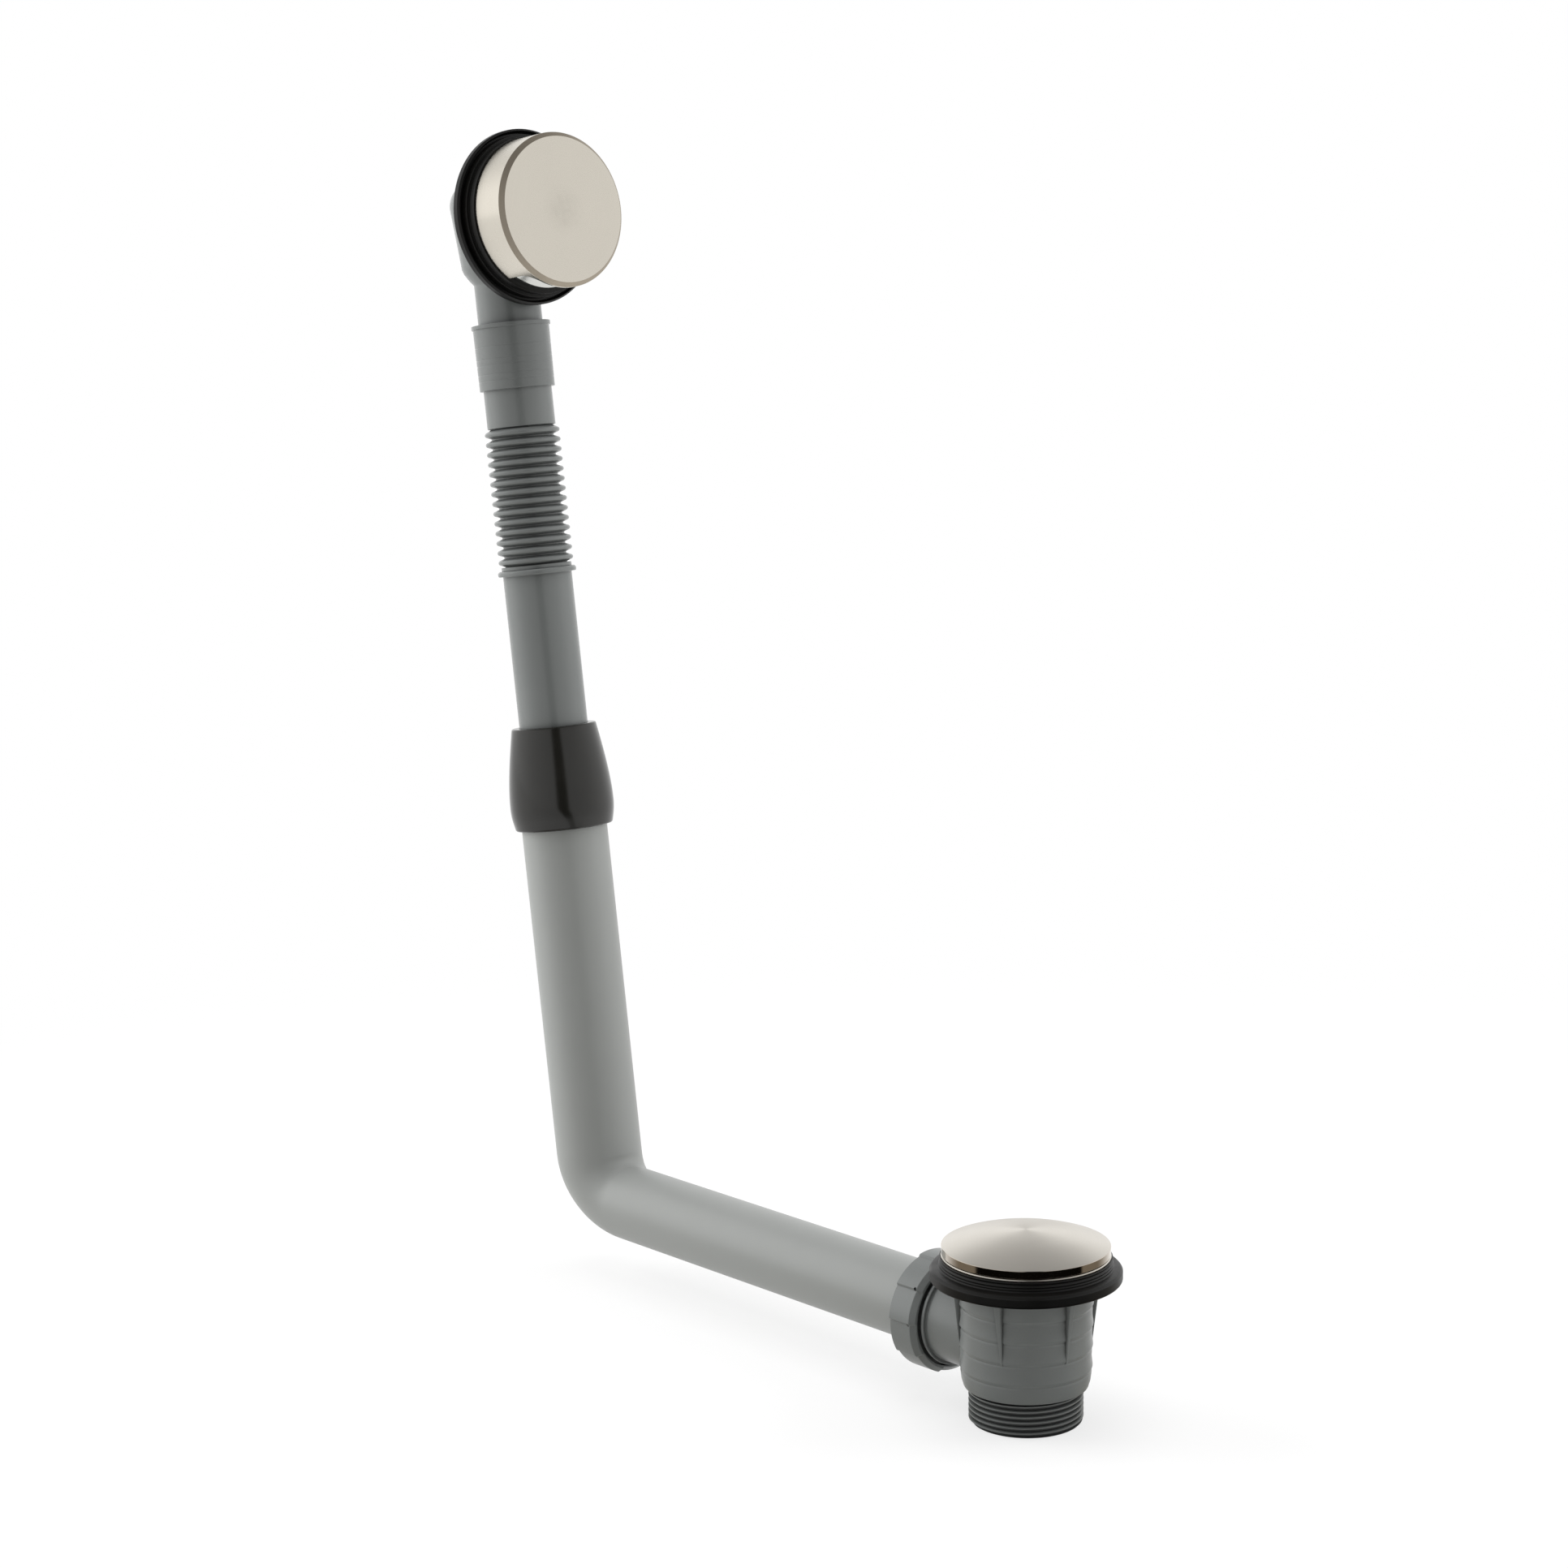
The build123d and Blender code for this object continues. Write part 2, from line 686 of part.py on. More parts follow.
write_part(flex_hose, "flex_hose")

# Spigot seal: a rubber ring in the socket's groove
with BuildPart() as spigot_seal:
    with BuildSketch(riser_profile):
        with Locations((spigot_radius + slide_gap / 2, seal_station + spigot_seal_height / 2)):
            Rectangle(
                spigot_seal_depth + slide_gap / 2 - seat_gap,
                spigot_seal_height - 2 * seat_gap,
                align=(Align.MIN, Align.CENTER),
            )
    revolve(axis=riser_axis)
write_part(spigot_seal, "spigot_seal")

# Overflow elbow: spigot, tapered hood with a round back, throat, flange and screw boss
spigot_foot = socket_station + socket_floor + rest_gap
hood_bore_radius = hood_radius - hood_wall
spigot_bore_radius = spigot_radius - spigot_wall
boss_back = -hood_radius + hood_wall / 2
with BuildPart() as overflow_elbow:
    with BuildSketch(riser_profile):
        with BuildLine():
            Polyline(
                (0, head_station + hood_radius),
                (0, spigot_foot),
                (spigot_radius, spigot_foot),
                (spigot_radius, hood_foot_station),
                (spigot_radius + hood_foot_step, hood_foot_station),
                (hood_radius, head_station),
            )
            RadiusArc((hood_radius, head_station), (0, head_station + hood_radius), -hood_radius)
        make_face()
    revolve(axis=riser_axis)
    with BuildSketch(head_plane):
        Circle(hood_radius)
    extrude(amount=elbow_flange_front)
    with BuildSketch(head_plane.offset(elbow_flange_front - elbow_flange_thickness)):
        Circle(elbow_flange_radius)
    extrude(amount=elbow_flange_thickness)
    with BuildSketch(riser_profile):
        with BuildLine():
            Polyline(
                (0, head_station + hood_bore_radius),
                (0, spigot_foot),
                (spigot_bore_radius, spigot_foot),
                (spigot_bore_radius, hood_foot_station + hood_wall),
                (hood_bore_radius, head_station),
            )
            RadiusArc(
                (hood_bore_radius, head_station),
                (0, head_station + hood_bore_radius),
                -hood_bore_radius,
            )
        make_face()
    revolve(axis=riser_axis, mode=Mode.SUBTRACT)
    with BuildSketch(head_plane):
        Circle(hood_bore_radius)
    extrude(amount=elbow_flange_front, mode=Mode.SUBTRACT)
    with BuildSketch(head_plane.offset(elbow_flange_front)):
        Circle(elbow_flange_radius)
    extrude(amount=hood_radius, mode=Mode.SUBTRACT)
    with BuildSketch(head_plane.offset(boss_back)):
        Circle(insert_radius + insert_boss_wall)
    extrude(amount=insert_boss_front - boss_back)
    with BuildSketch(head_plane.offset(insert_boss_front - insert_length)):
        Circle(insert_radius + seat_gap)
    extrude(amount=insert_length, mode=Mode.SUBTRACT)
write_part(overflow_elbow, "overflow_elbow")

# Screw insert: brass thread in the elbow's boss
with BuildPart() as screw_insert:
    with BuildSketch(head_plane.offset(insert_boss_front - insert_length)):
        Circle(insert_radius)
        Circle(screw_radius + seat_gap, mode=Mode.SUBTRACT)
    extrude(amount=insert_length)
write_part(screw_insert, "screw_insert")

# Overflow gasket: wide lip, a step and a raised ridge that meets the bath wall
lip_front = elbow_flange_front + head_gasket_lip_thickness
with BuildPart() as overflow_gasket:
    with BuildSketch(head_profile):
        with BuildLine():
            Polyline(
                (head_gasket_bore_radius, elbow_flange_front),
                (head_gasket_lip_radius - head_gasket_lip_slope, elbow_flange_front),
                (head_gasket_lip_radius, elbow_flange_front + head_gasket_lip_slope),
                (head_gasket_lip_radius, lip_front - head_gasket_lip_slope),
                (head_gasket_lip_radius - head_gasket_lip_slope, lip_front),
                (head_gasket_step_radius, lip_front),
                (head_gasket_step_radius, lip_front + head_gasket_step),
                (head_gasket_ridge_radius, lip_front + head_gasket_step),
                (head_gasket_ridge_radius, gasket_front),
                (head_gasket_bore_radius, gasket_front),
                close=True,
            )
        make_face()
    revolve(axis=head_axis)
write_part(overflow_gasket, "overflow_gasket")

# Overflow grid: a plate with round holes and a rim that the cap pushes on to
grid_radius = cap_bore_radius - seat_gap
with BuildPart() as overflow_grid:
    with BuildSketch(head_plane.offset(cap_back)):
        Circle(grid_radius)
    extrude(amount=grid_thickness + grid_rim_height)
    with BuildSketch(head_plane.offset(grid_front)):
        Circle(grid_radius - grid_rim_wall)
    extrude(amount=grid_rim_height, mode=Mode.SUBTRACT)
    with BuildSketch(head_plane.offset(cap_back)):
        Circle(screw_radius + slide_gap)
        with PolarLocations(grid_hole_circle, grid_hole_count):
            Circle(grid_hole_radius)
    extrude(amount=grid_thickness, mode=Mode.SUBTRACT)
write_part(overflow_grid, "overflow_grid")

# Overflow screw: draws the grid to the elbow
screw_foot = insert_boss_front - insert_length
with BuildPart() as overflow_screw:
    with BuildSketch(head_plane.offset(screw_foot)):
        Circle(screw_radius)
    extrude(amount=grid_front - screw_foot)
    with BuildSketch(head_plane.offset(grid_front)):
        Circle(screw_head_radius)
    extrude(amount=screw_head_height)
write_part(overflow_screw, "overflow_screw")

# Overflow cap: a bevelled cup with the overflow's notch in its lower wall, open to the back edge
cap_face = cap_back + cap_depth
notch_start = sqrt((cap_bore_radius - cap_wall) ** 2 - (notch_width / 2) ** 2)
notch_plane = Plane(
    origin=head_centre - riser_up * notch_start, x_dir=(0, 1, 0), z_dir=-riser_up
)
with BuildPart() as overflow_cap:
    with BuildSketch(head_profile):
        with BuildLine():
            Polyline(
                (0, cap_face),
                (cap_radius - cap_bevel, cap_face),
                (cap_radius, cap_face - cap_bevel),
                (cap_radius, cap_back),
                (cap_bore_radius, cap_back),
                (cap_bore_radius, cap_face - cap_front),
                (0, cap_face - cap_front),
                close=True,
            )
        make_face()
    revolve(axis=head_axis)
    with BuildSketch(notch_plane):
        with Locations((0, cap_back)):
            RectangleRounded(notch_width, 2 * notch_depth, notch_corner)
    extrude(amount=cap_radius, mode=Mode.SUBTRACT)
write_part(overflow_cap, "overflow_cap")
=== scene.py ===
import json
from math import asin, atan2, cos, degrees, pi, radians, sin, tan

import bpy
from mathutils import Matrix, Vector
from mathutils.geometry import interpolate_bezier


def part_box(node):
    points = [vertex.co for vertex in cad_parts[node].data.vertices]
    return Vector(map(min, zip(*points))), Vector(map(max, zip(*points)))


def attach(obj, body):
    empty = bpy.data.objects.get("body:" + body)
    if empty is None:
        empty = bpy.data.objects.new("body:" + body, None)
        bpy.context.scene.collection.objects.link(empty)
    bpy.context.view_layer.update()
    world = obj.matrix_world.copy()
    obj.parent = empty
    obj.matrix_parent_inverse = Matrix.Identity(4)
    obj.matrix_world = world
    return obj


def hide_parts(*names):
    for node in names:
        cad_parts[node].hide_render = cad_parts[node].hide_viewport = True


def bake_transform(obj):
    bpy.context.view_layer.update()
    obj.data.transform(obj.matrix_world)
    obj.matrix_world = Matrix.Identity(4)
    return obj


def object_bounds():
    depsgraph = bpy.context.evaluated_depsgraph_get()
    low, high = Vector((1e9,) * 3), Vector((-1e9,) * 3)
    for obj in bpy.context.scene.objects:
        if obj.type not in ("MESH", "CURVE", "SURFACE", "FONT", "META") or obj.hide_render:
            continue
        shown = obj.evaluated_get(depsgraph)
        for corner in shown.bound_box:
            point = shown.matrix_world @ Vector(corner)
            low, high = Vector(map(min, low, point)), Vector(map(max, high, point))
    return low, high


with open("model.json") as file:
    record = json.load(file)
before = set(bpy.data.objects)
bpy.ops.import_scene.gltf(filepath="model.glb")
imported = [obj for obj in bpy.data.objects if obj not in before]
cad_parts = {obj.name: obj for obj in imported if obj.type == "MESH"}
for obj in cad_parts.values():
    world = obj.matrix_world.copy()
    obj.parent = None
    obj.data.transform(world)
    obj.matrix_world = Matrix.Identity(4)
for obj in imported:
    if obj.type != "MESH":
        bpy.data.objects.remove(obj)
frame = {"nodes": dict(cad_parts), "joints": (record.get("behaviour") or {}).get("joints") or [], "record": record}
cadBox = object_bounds()
mm = 0.001
past = 1.0  # how far a cutter runs past the face that it opens, in mm
print("frame loaded:", len(frame["nodes"]), "nodes")

# Lines that the round pieces are turned about, read from the frame: each has a start, a direction,
# and the turn about Y that lays a piece drawn up the Z axis along it
joints = {joint["name"]: joint for joint in frame["joints"]}
mounts = {mount["name"]: mount for mount in frame["record"]["mounts"]}
riserUp = Vector(joints["overflow_height"]["axis"]).normalized()
headFront = Vector((0, 1, 0)).cross(riserUp)
lean = asin(-riserUp.x)
pipeLevel = sum(corner.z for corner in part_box("union_nut")) / 2
bellowsMiddle = Vector(joints["bellows_bend"]["pos_m"])
pipeCorner = bellowsMiddle - riserUp * ((bellowsMiddle.z - pipeLevel) / riserUp.z)
wallCentre = Vector(mounts["bath_wall"]["pos_m"])
headCentre = pipeCorner + riserUp * (wallCentre - pipeCorner).dot(riserUp)
waste = {"start": Vector(), "along": Vector((0, 0, 1)), "turn": 0}
branch = {"start": Vector((0, 0, pipeLevel)), "along": Vector((1, 0, 0)), "turn": radians(90)}
riser = {"start": pipeCorner, "along": riserUp, "turn": -lean}
head = {"start": headCentre, "along": headFront, "turn": radians(90) - lean}


def spanOf(node, line):
    # where a CAD piece starts and ends along its line, and its largest radius, in mm
    stations, radii = [], []
    for vertex in frame["nodes"][node].data.vertices:
        offset = (vertex.co - line["start"]) / mm
        station = offset.dot(line["along"])
        stations.append(station)
        radii.append((offset - line["along"] * station).length)
    return min(stations), max(stations), max(radii)


def pickOut(piece):
    bpy.ops.object.select_all(action="DESELECT")
    piece.select_set(True)
    bpy.context.view_layer.objects.active = piece


def addPiece(primitive, name, **settings):
    bpy.ops.object.select_all(action="DESELECT")
    primitive(**settings)
    piece = bpy.context.object
    piece.name = name
    return piece


def settlePlace(piece):
    pickOut(piece)
    bpy.ops.object.transform_apply(location=True, rotation=True, scale=True)


def applyModifier(piece, kind, **settings):
    pickOut(piece)
    modifier = piece.modifiers.new(kind, kind)
    for name, value in settings.items():
        setattr(modifier, name, value)
    bpy.ops.object.modifier_apply(modifier=modifier.name)


def roundEdges(piece, width, steps=3):
    applyModifier(
        piece, "BEVEL", width=width * mm, segments=steps, limit_method="ANGLE", angle_limit=radians(28),
    )


def turnPiece(name, line, outline, ends="ring", edge=0, sides=128, shape=None):
    # a circle at the outline's first point is pulled through the others, (radius, height) in mm
    radius, height = outline[0]
    piece = addPiece(
        bpy.ops.mesh.primitive_circle_add, name, vertices=sides, radius=radius * mm,
        location=(0, 0, height * mm), fill_type="NGON" if ends == "solid" else "NOTHING",
    )
    settlePlace(piece)
    if shape:
        for vertex in piece.data.vertices:
            vertex.co.xy *= shape(atan2(vertex.co.y, vertex.co.x))
    bpy.ops.object.mode_set(mode="EDIT")
    bpy.ops.mesh.select_all(action="SELECT")
    for nextRadius, nextHeight in outline[1:]:
        rise = (0, 0, (nextHeight - height) * mm)
        growth = nextRadius / radius
        bpy.ops.mesh.extrude_edges_move(TRANSFORM_OT_translate={"value": rise})
        bpy.ops.transform.resize(value=(growth, growth, 1), center_override=(0, 0, 0))
        radius, height = nextRadius, nextHeight
    if ends == "ring":  # a closed section: the last ring joins the first
        bpy.ops.mesh.select_all(action="DESELECT")
        bpy.ops.mesh.select_non_manifold()
        bpy.ops.mesh.bridge_edge_loops()
    elif radius == 0:
        bpy.ops.mesh.merge(type="CENTER")
    else:
        bpy.ops.mesh.edge_face_add()
    bpy.ops.mesh.select_all(action="SELECT")
    bpy.ops.mesh.normals_make_consistent(inside=False)
    bpy.ops.object.mode_set(mode="OBJECT")
    piece.location = line["start"]
    piece.rotation_euler = (0, line["turn"], 0)
    settlePlace(piece)
    if edge:
        roundEdges(piece, edge)
    return piece


def windUp(piece, angle, rise, rounds, steps):
    # winds a section about the Z axis, then closes its two ends
    applyModifier(
        piece, "SCREW", angle=angle, screw_offset=rise * mm, iterations=rounds, steps=steps,
        render_steps=steps, use_merge_vertices=False,
    )
    bpy.ops.object.mode_set(mode="EDIT")
    bpy.ops.mesh.select_all(action="SELECT")
    bpy.ops.mesh.fill_holes(sides=0)
    bpy.ops.mesh.normals_make_consistent(inside=False)
    bpy.ops.object.mode_set(mode="OBJECT")


def combine(piece, operation, others):
    for other in others:
        applyModifier(piece, "BOOLEAN", object=other, operation=operation, solver="MANIFOLD")
        bpy.data.objects.remove(other)


def arcOf(centreHeight, radius, start, end, steps):
    # points of a round stretch about a centre on the axis, by its angles from the axis in degrees
    angles = [radians(start + (end - start) * step / steps) for step in range(steps + 1)]
    return [(radius * sin(angle), centreHeight + radius * cos(angle)) for angle in angles]


def between(start, end, steps=14):
    # rings that split a long stretch, so that its shading stays even where another piece joins
    return [
        (start[0] + (end[0] - start[0]) * step / steps, start[1] + (end[1] - start[1]) * step / steps)
        for step in range(1, steps)
    ]


def dressPiece(piece, finish, nodes, body=None):
    pickOut(piece)
    bpy.ops.object.shade_smooth_by_angle(angle=radians(38))
    applyModifier(piece, "WEIGHTED_NORMAL", keep_sharp=True)  # flat faces stay flat beside rounded edges
    piece.data.materials.clear()
    piece.data.materials.append(finish)
    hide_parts(*nodes)
    if body:
        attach(piece, body)


def paintFaces(piece, finish, test):
    piece.data.materials.append(finish)
    for face in piece.data.polygons:
        if test(face.center / mm, face.normal):
            face.material_index = len(piece.data.materials) - 1


def linear(hexColour, share=1.0):
    # sRGB hex to the linear colour that shaders use, or a share of it
    channels = [int(hexColour[place:place + 2], 16) / 255 for place in (1, 3, 5)]
    return [share * (c / 12.92 if c <= 0.04045 else ((c + 0.055) / 1.055) ** 2.4) for c in channels] + [1]


def feed(node, inputs):
    # an input, by its name or number, takes a value, a socket, or another node for its first output
    for socket, value in inputs.items():
        if isinstance(value, bpy.types.Node):
            value = value.outputs[0]
        if isinstance(value, bpy.types.NodeSocket):
            node.id_data.links.new(value, node.inputs[socket])
        else:
            node.inputs[socket].default_value = value


def addNode(tree, kind, inputs, **settings):
    node = tree.nodes.new("ShaderNode" + kind)
    for name, value in settings.items():
        setattr(node, name, value)
    feed(node, inputs)
    return node


def newFinish(name, colour, inputs):
    finish = bpy.data.materials.new(name)
    finish.use_nodes = True
    shader = finish.node_tree.nodes["Principled BSDF"]
    feed(shader, {"Base Color": linear(colour), **inputs})
    place = addNode(finish.node_tree, "TexCoord", {}).outputs["Object"]
    return finish, finish.node_tree, shader, place


noiseSpan = {1: 0.3, 2: 0.7}  # most of a noise lies between these


# Nickel plate, brushed while it turned: warm and silvery, with fine rings and light that fans out
# from the centre because the scratches run round; the real rings are finer still
turnedRings = {"spacing": 0.7, "patch": 14.0, "swirl": 5.0, "smudgeFrom": 1.0, "smudgeTo": 14.0}


def brushedNickel(name, line, blur, spread, depth, colour="#d8d2c6", centre=1.0):
    finish, tree, shader, place = newFinish(
        name, colour, {"Metallic": 1.0, "Anisotropic": spread, "Anisotropic Rotation": 0.25}
    )
    size = {name: value * mm for name, value in turnedRings.items()}
    offset = addNode(tree, "VectorMath", {0: place, 1: line["start"]}, operation="SUBTRACT")
    aroundAxis = addNode(tree, "VectorMath", {0: line["along"], 1: offset}, operation="CROSS_PRODUCT")
    turned = addNode(
        tree, "VectorTransform", {0: aroundAxis},
        vector_type="VECTOR", convert_from="OBJECT", convert_to="WORLD",
    )
    tangent = addNode(tree, "VectorMath", {0: turned}, operation="NORMALIZE")
    radius = addNode(tree, "VectorMath", {0: aroundAxis}, operation="LENGTH").outputs["Value"]
    rings = addNode(
        tree, "TexNoise", {"W": radius, "Scale": 1 / size["spacing"], "Detail": 3.0, "Roughness": 0.7},
        noise_dimensions="1D",
    )
    patches = addNode(tree, "TexNoise", {"Vector": place, "Scale": 1 / size["patch"], "Detail": 3.0})
    uneven = addNode(tree, "Math", {0: rings, 1: patches}, operation="ADD")
    satin = addNode(tree, "MapRange", {0: uneven, 1: 0.7, 2: 1.3, 3: blur[0], 4: blur[1]})
    bump = addNode(tree, "Bump", {"Height": rings, "Distance": depth * mm, "Strength": 1.0})
    swirl = addNode(
        tree, "TexNoise", {"Vector": place, "Scale": 1 / size["swirl"], "Detail": 2.0, "Distortion": 1.5}
    )
    nearCentre = addNode(
        tree, "MapRange", {0: radius, 1: size["smudgeFrom"], 2: size["smudgeTo"], 3: 1.0, 4: 0.0},
        interpolation_type="SMOOTHSTEP",
    )
    smudge = addNode(tree, "Math", {0: swirl, 1: nearCentre}, operation="MULTIPLY")
    tint = addNode(tree, "Mix", {0: smudge, 6: linear(colour), 7: linear(colour, centre)}, data_type="RGBA")
    feed(shader, {"Base Color": tint.outputs[2], "Tangent": tangent, "Roughness": satin, "Normal": bump})
    return finish


# Nickel plate left bright on turned edges: a mirror with faint handling smears
polish = {"smear": 9.0, "blur": (0.05, 0.11)}


def polishedNickel():
    finish, tree, shader, place = newFinish("polishedNickel", "#cfc6ba", {"Metallic": 1.0})
    smears = addNode(
        tree, "TexNoise", {"Vector": place, "Scale": 1 / (polish["smear"] * mm), "Detail": 4.0}
    )
    clean, smeared = polish["blur"]
    blur = addNode(tree, "MapRange", {0: smears, 1: 0.35, 2: 0.7, 3: clean, 4: smeared})
    feed(shader, {"Roughness": blur})
    return finish


# Polypropylene, moulded or drawn: even grey with a satin skin, faint flow marks and a fine grain; painted
# shade darkens its colour in corners and grooves
moulding = {"flowMark": 18.0, "paintedShadeReach": 3.0, "grain": 0.35, "grainDeep": 0.004}


def greyPolypropylene(name, colour, flow, blur, paintedCreaseShade=1.0):
    finish, tree, shader, place = newFinish(name, colour, {"IOR": 1.49})
    size = {name: value * mm for name, value in moulding.items()}
    marks = addNode(
        tree, "TexNoise", {"Vector": place, "Scale": 1 / size["flowMark"], "Detail": 3.0, "Roughness": 0.6}
    )
    tint = addNode(tree, "Mix", {0: marks, 6: linear(colour, 1 - flow), 7: linear(colour)}, data_type="RGBA")
    # painted shade: where ambient occlusion finds surfaces close by, the base colour is darkened towards the
    # painted crease shade
    openness = addNode(tree, "AmbientOcclusion", {"Distance": size["paintedShadeReach"]}, samples=8).outputs["AO"]
    shade = addNode(tree, "MapRange", {0: openness, 1: 0.3, 2: 0.85, 3: paintedCreaseShade, 4: 1.0})
    creaseShadedTint = addNode(
        tree, "Mix", {0: 1.0, 6: tint.outputs[2], 7: shade}, data_type="RGBA", blend_type="MULTIPLY"
    )
    skin = addNode(tree, "TexNoise", {"Vector": place, "Scale": 1 / size["grain"], "Detail": 2.0})
    satin = addNode(tree, "MapRange", {0: skin, **noiseSpan, 3: blur[0], 4: blur[1]})
    bump = addNode(tree, "Bump", {"Height": skin, "Distance": size["grainDeep"], "Strength": 1.0})
    feed(shader, {"Base Color": creaseShadedTint.outputs[2], "Roughness": satin, "Normal": bump})
    return finish


# Moulded nitrile rubber: near black, with a slick skin that mirrors the room softly and a little bloom
bloomPatch = 12.0  # mm


def blackRubber(name, colour, bloom, blur, gloss):
    finish, tree, shader, place = newFinish(name, colour, {"IOR": gloss})
    patches = addNode(
        tree, "TexNoise", {"Vector": place, "Scale": 1 / (bloomPatch * mm), "Detail": 5.0, "Roughness": 0.65}
    )
    tint = addNode(tree, "Mix", {0: patches, 6: linear(colour), 7: linear(bloom)}, data_type="RGBA")
    satin = addNode(tree, "MapRange", {0: patches, **noiseSpan, 3: blur[0], 4: blur[1]})
    feed(shader, {"Base Color": tint.outputs[2], "Roughness": satin})
    return finish


# Metals of the inner pieces, straight from the lathe or press: fine tool marks along the axis
toolMarkDeep = 0.01  # mm


def machinedMetal(name, colour, line, pitch, blur):
    finish, tree, shader, place = newFinish(name, colour, {"Metallic": 1.0})
    along = addNode(tree, "VectorMath", {0: place, 1: line["along"]}, operation="DOT_PRODUCT")
    marks = addNode(
        tree, "TexNoise", {"W": along.outputs["Value"], "Scale": 1 / (pitch * mm), "Detail": 2.0},
        noise_dimensions="1D",
    )
    satin = addNode(tree, "MapRange", {0: marks, **noiseSpan, 3: blur[0], 4: blur[1]})
    bump = addNode(tree, "Bump", {"Height": marks, "Distance": toolMarkDeep * mm, "Strength": 1.0})
    feed(shader, {"Roughness": satin, "Normal": bump})
    return finish


domeNickel = brushedNickel("brushedNickelDome", waste, (0.30, 0.38), 0.6, 0.005, colour="#d7d2c9")
capNickel = brushedNickel("brushedNickelCap", head, (0.24, 0.29), 0.35, 0.002, centre=0.84)
# painted shade: a darker nickel for the cap's front bevel, standing in for the dark room that the bevel reflects
paintedShadeBevelNickel = brushedNickel("brushedNickelPaintedShade", head, (0.5, 0.58), 0.2, 0.002, colour="#b3a999")
brightNickel = polishedNickel()
pipeGrey = greyPolypropylene("lightGreyPolypropylene", "#989a98", 0.05, (0.34, 0.42))
# the last number is how dark the painted crease shade gets: hose and body take it, the body darkest
hoseGrey = greyPolypropylene("midGreyPolypropylene", "#757877", 0.06, (0.20, 0.27), 0.5)
bodyGrey = greyPolypropylene("darkGreyPolypropylene", "#7b7e7d", 0.07, (0.27, 0.36), 0.15)
sleeveRubber = blackRubber("slickBlackRubber", "#181714", "#24231f", (0.13, 0.19), 1.52)
gasketRubber = blackRubber("satinBlackRubber", "#0b0b0a", "#151412", (0.34, 0.46), 1.36)
turnedBrass = machinedMetal("turnedBrass", "#c9a25c", waste, 0.5, (0.22, 0.34))
stainless = machinedMetal("stainlessSteel", "#d2d2ce", head, 0.6, (0.12, 0.2))
whiteAcetal = greyPolypropylene("whiteAcetal", "#dcdcd6", 0.03, (0.32, 0.4))
print("finishes made")

# Inner pieces whose CAD shape is right keep it and take a finish
innerFinishes = {
    "plug_carrier": whiteAcetal, "slip_ring": whiteAcetal, "plug_seal": gasketRubber,
    "compression_ring": gasketRubber, "spigot_seal": gasketRubber, "cartridge_barrel": turnedBrass,
    "plug_stem": turnedBrass, "screw_insert": turnedBrass, "overflow_screw": stainless,
}
for node, finish in innerFinishes.items():
    frame["nodes"][node].data.materials.clear()
    frame["nodes"][node].data.materials.append(finish)

# Waste flange: thin polished rim, dish, threaded tail, and a bridge of three spokes round the cartridge
flangeSize = {
    "rim": 1.0, "roll": 0.6, "hole": 27.0, "dishTop": 26.3, "seat": 24.3, "seatDrop": 1.0, "tail": 22.5,
    "tailBore": 20.7, "bridge": 3.0, "boss": 9.5, "bossBore": 6.55, "spokes": 3, "spokeWidth": 4.0,
    "spokeSink": 1.0, "spokeRoot": 0.8, "spokeEdge": 0.3, "edge": 0.2,
    "brushedWide": 2.5, "brushedFrom": 0.05,
}
low, high, radius = spanOf("waste_flange", waste)
size = flangeSize
rolledRim = [
    (radius - size["roll"] * (1 - cos(radians(turn))), size["rim"] - size["roll"] * (1 - sin(radians(turn))))
    for turn in range(0, 91, 15)
]
flange = turnPiece("wasteFlange", waste, [
    (size["hole"], 0), (radius - size["roll"] / 2, 0), *rolledRim, (size["dishTop"], size["rim"]),
    (size["seat"], -size["seatDrop"]), (size["tailBore"], -size["seatDrop"]), (size["tailBore"], low),
    (size["tail"], low), (size["tail"], size["tail"] - size["hole"]),
], edge=size["edge"])
boss = turnPiece("boss", waste, [
    (size["bossBore"], low), (size["boss"], low), (size["boss"], low + size["bridge"]),
    (size["bossBore"], low + size["bridge"]),
], sides=64, edge=size["edge"])
spokes = []
reach = size["tailBore"] + size["spokeRoot"] - size["boss"] + size["spokeSink"]
middle = size["boss"] - size["spokeSink"] + reach / 2
for spoke in range(size["spokes"]):
    turn = 2 * pi * spoke / size["spokes"]
    bar = addPiece(bpy.ops.mesh.primitive_cube_add, "spoke", size=mm)
    bar.scale = (reach, size["spokeWidth"], size["bridge"])
    bar.location = (middle * cos(turn) * mm, middle * sin(turn) * mm, (low + size["bridge"] / 2) * mm)
    bar.rotation_euler = (0, 0, turn)
    settlePlace(bar)
    roundEdges(bar, size["spokeEdge"], 2)
    spokes.append(bar)
combine(flange, "UNION", [boss, *spokes])
dressPiece(flange, brightNickel, ["waste_flange"], "waste")
brushedInner = radius - size["brushedWide"]
paintFaces(
    flange, domeNickel,
    lambda centre, normal: centre.xy.length > brushedInner and centre.z > flangeSize["brushedFrom"],
)
print("waste flange made")

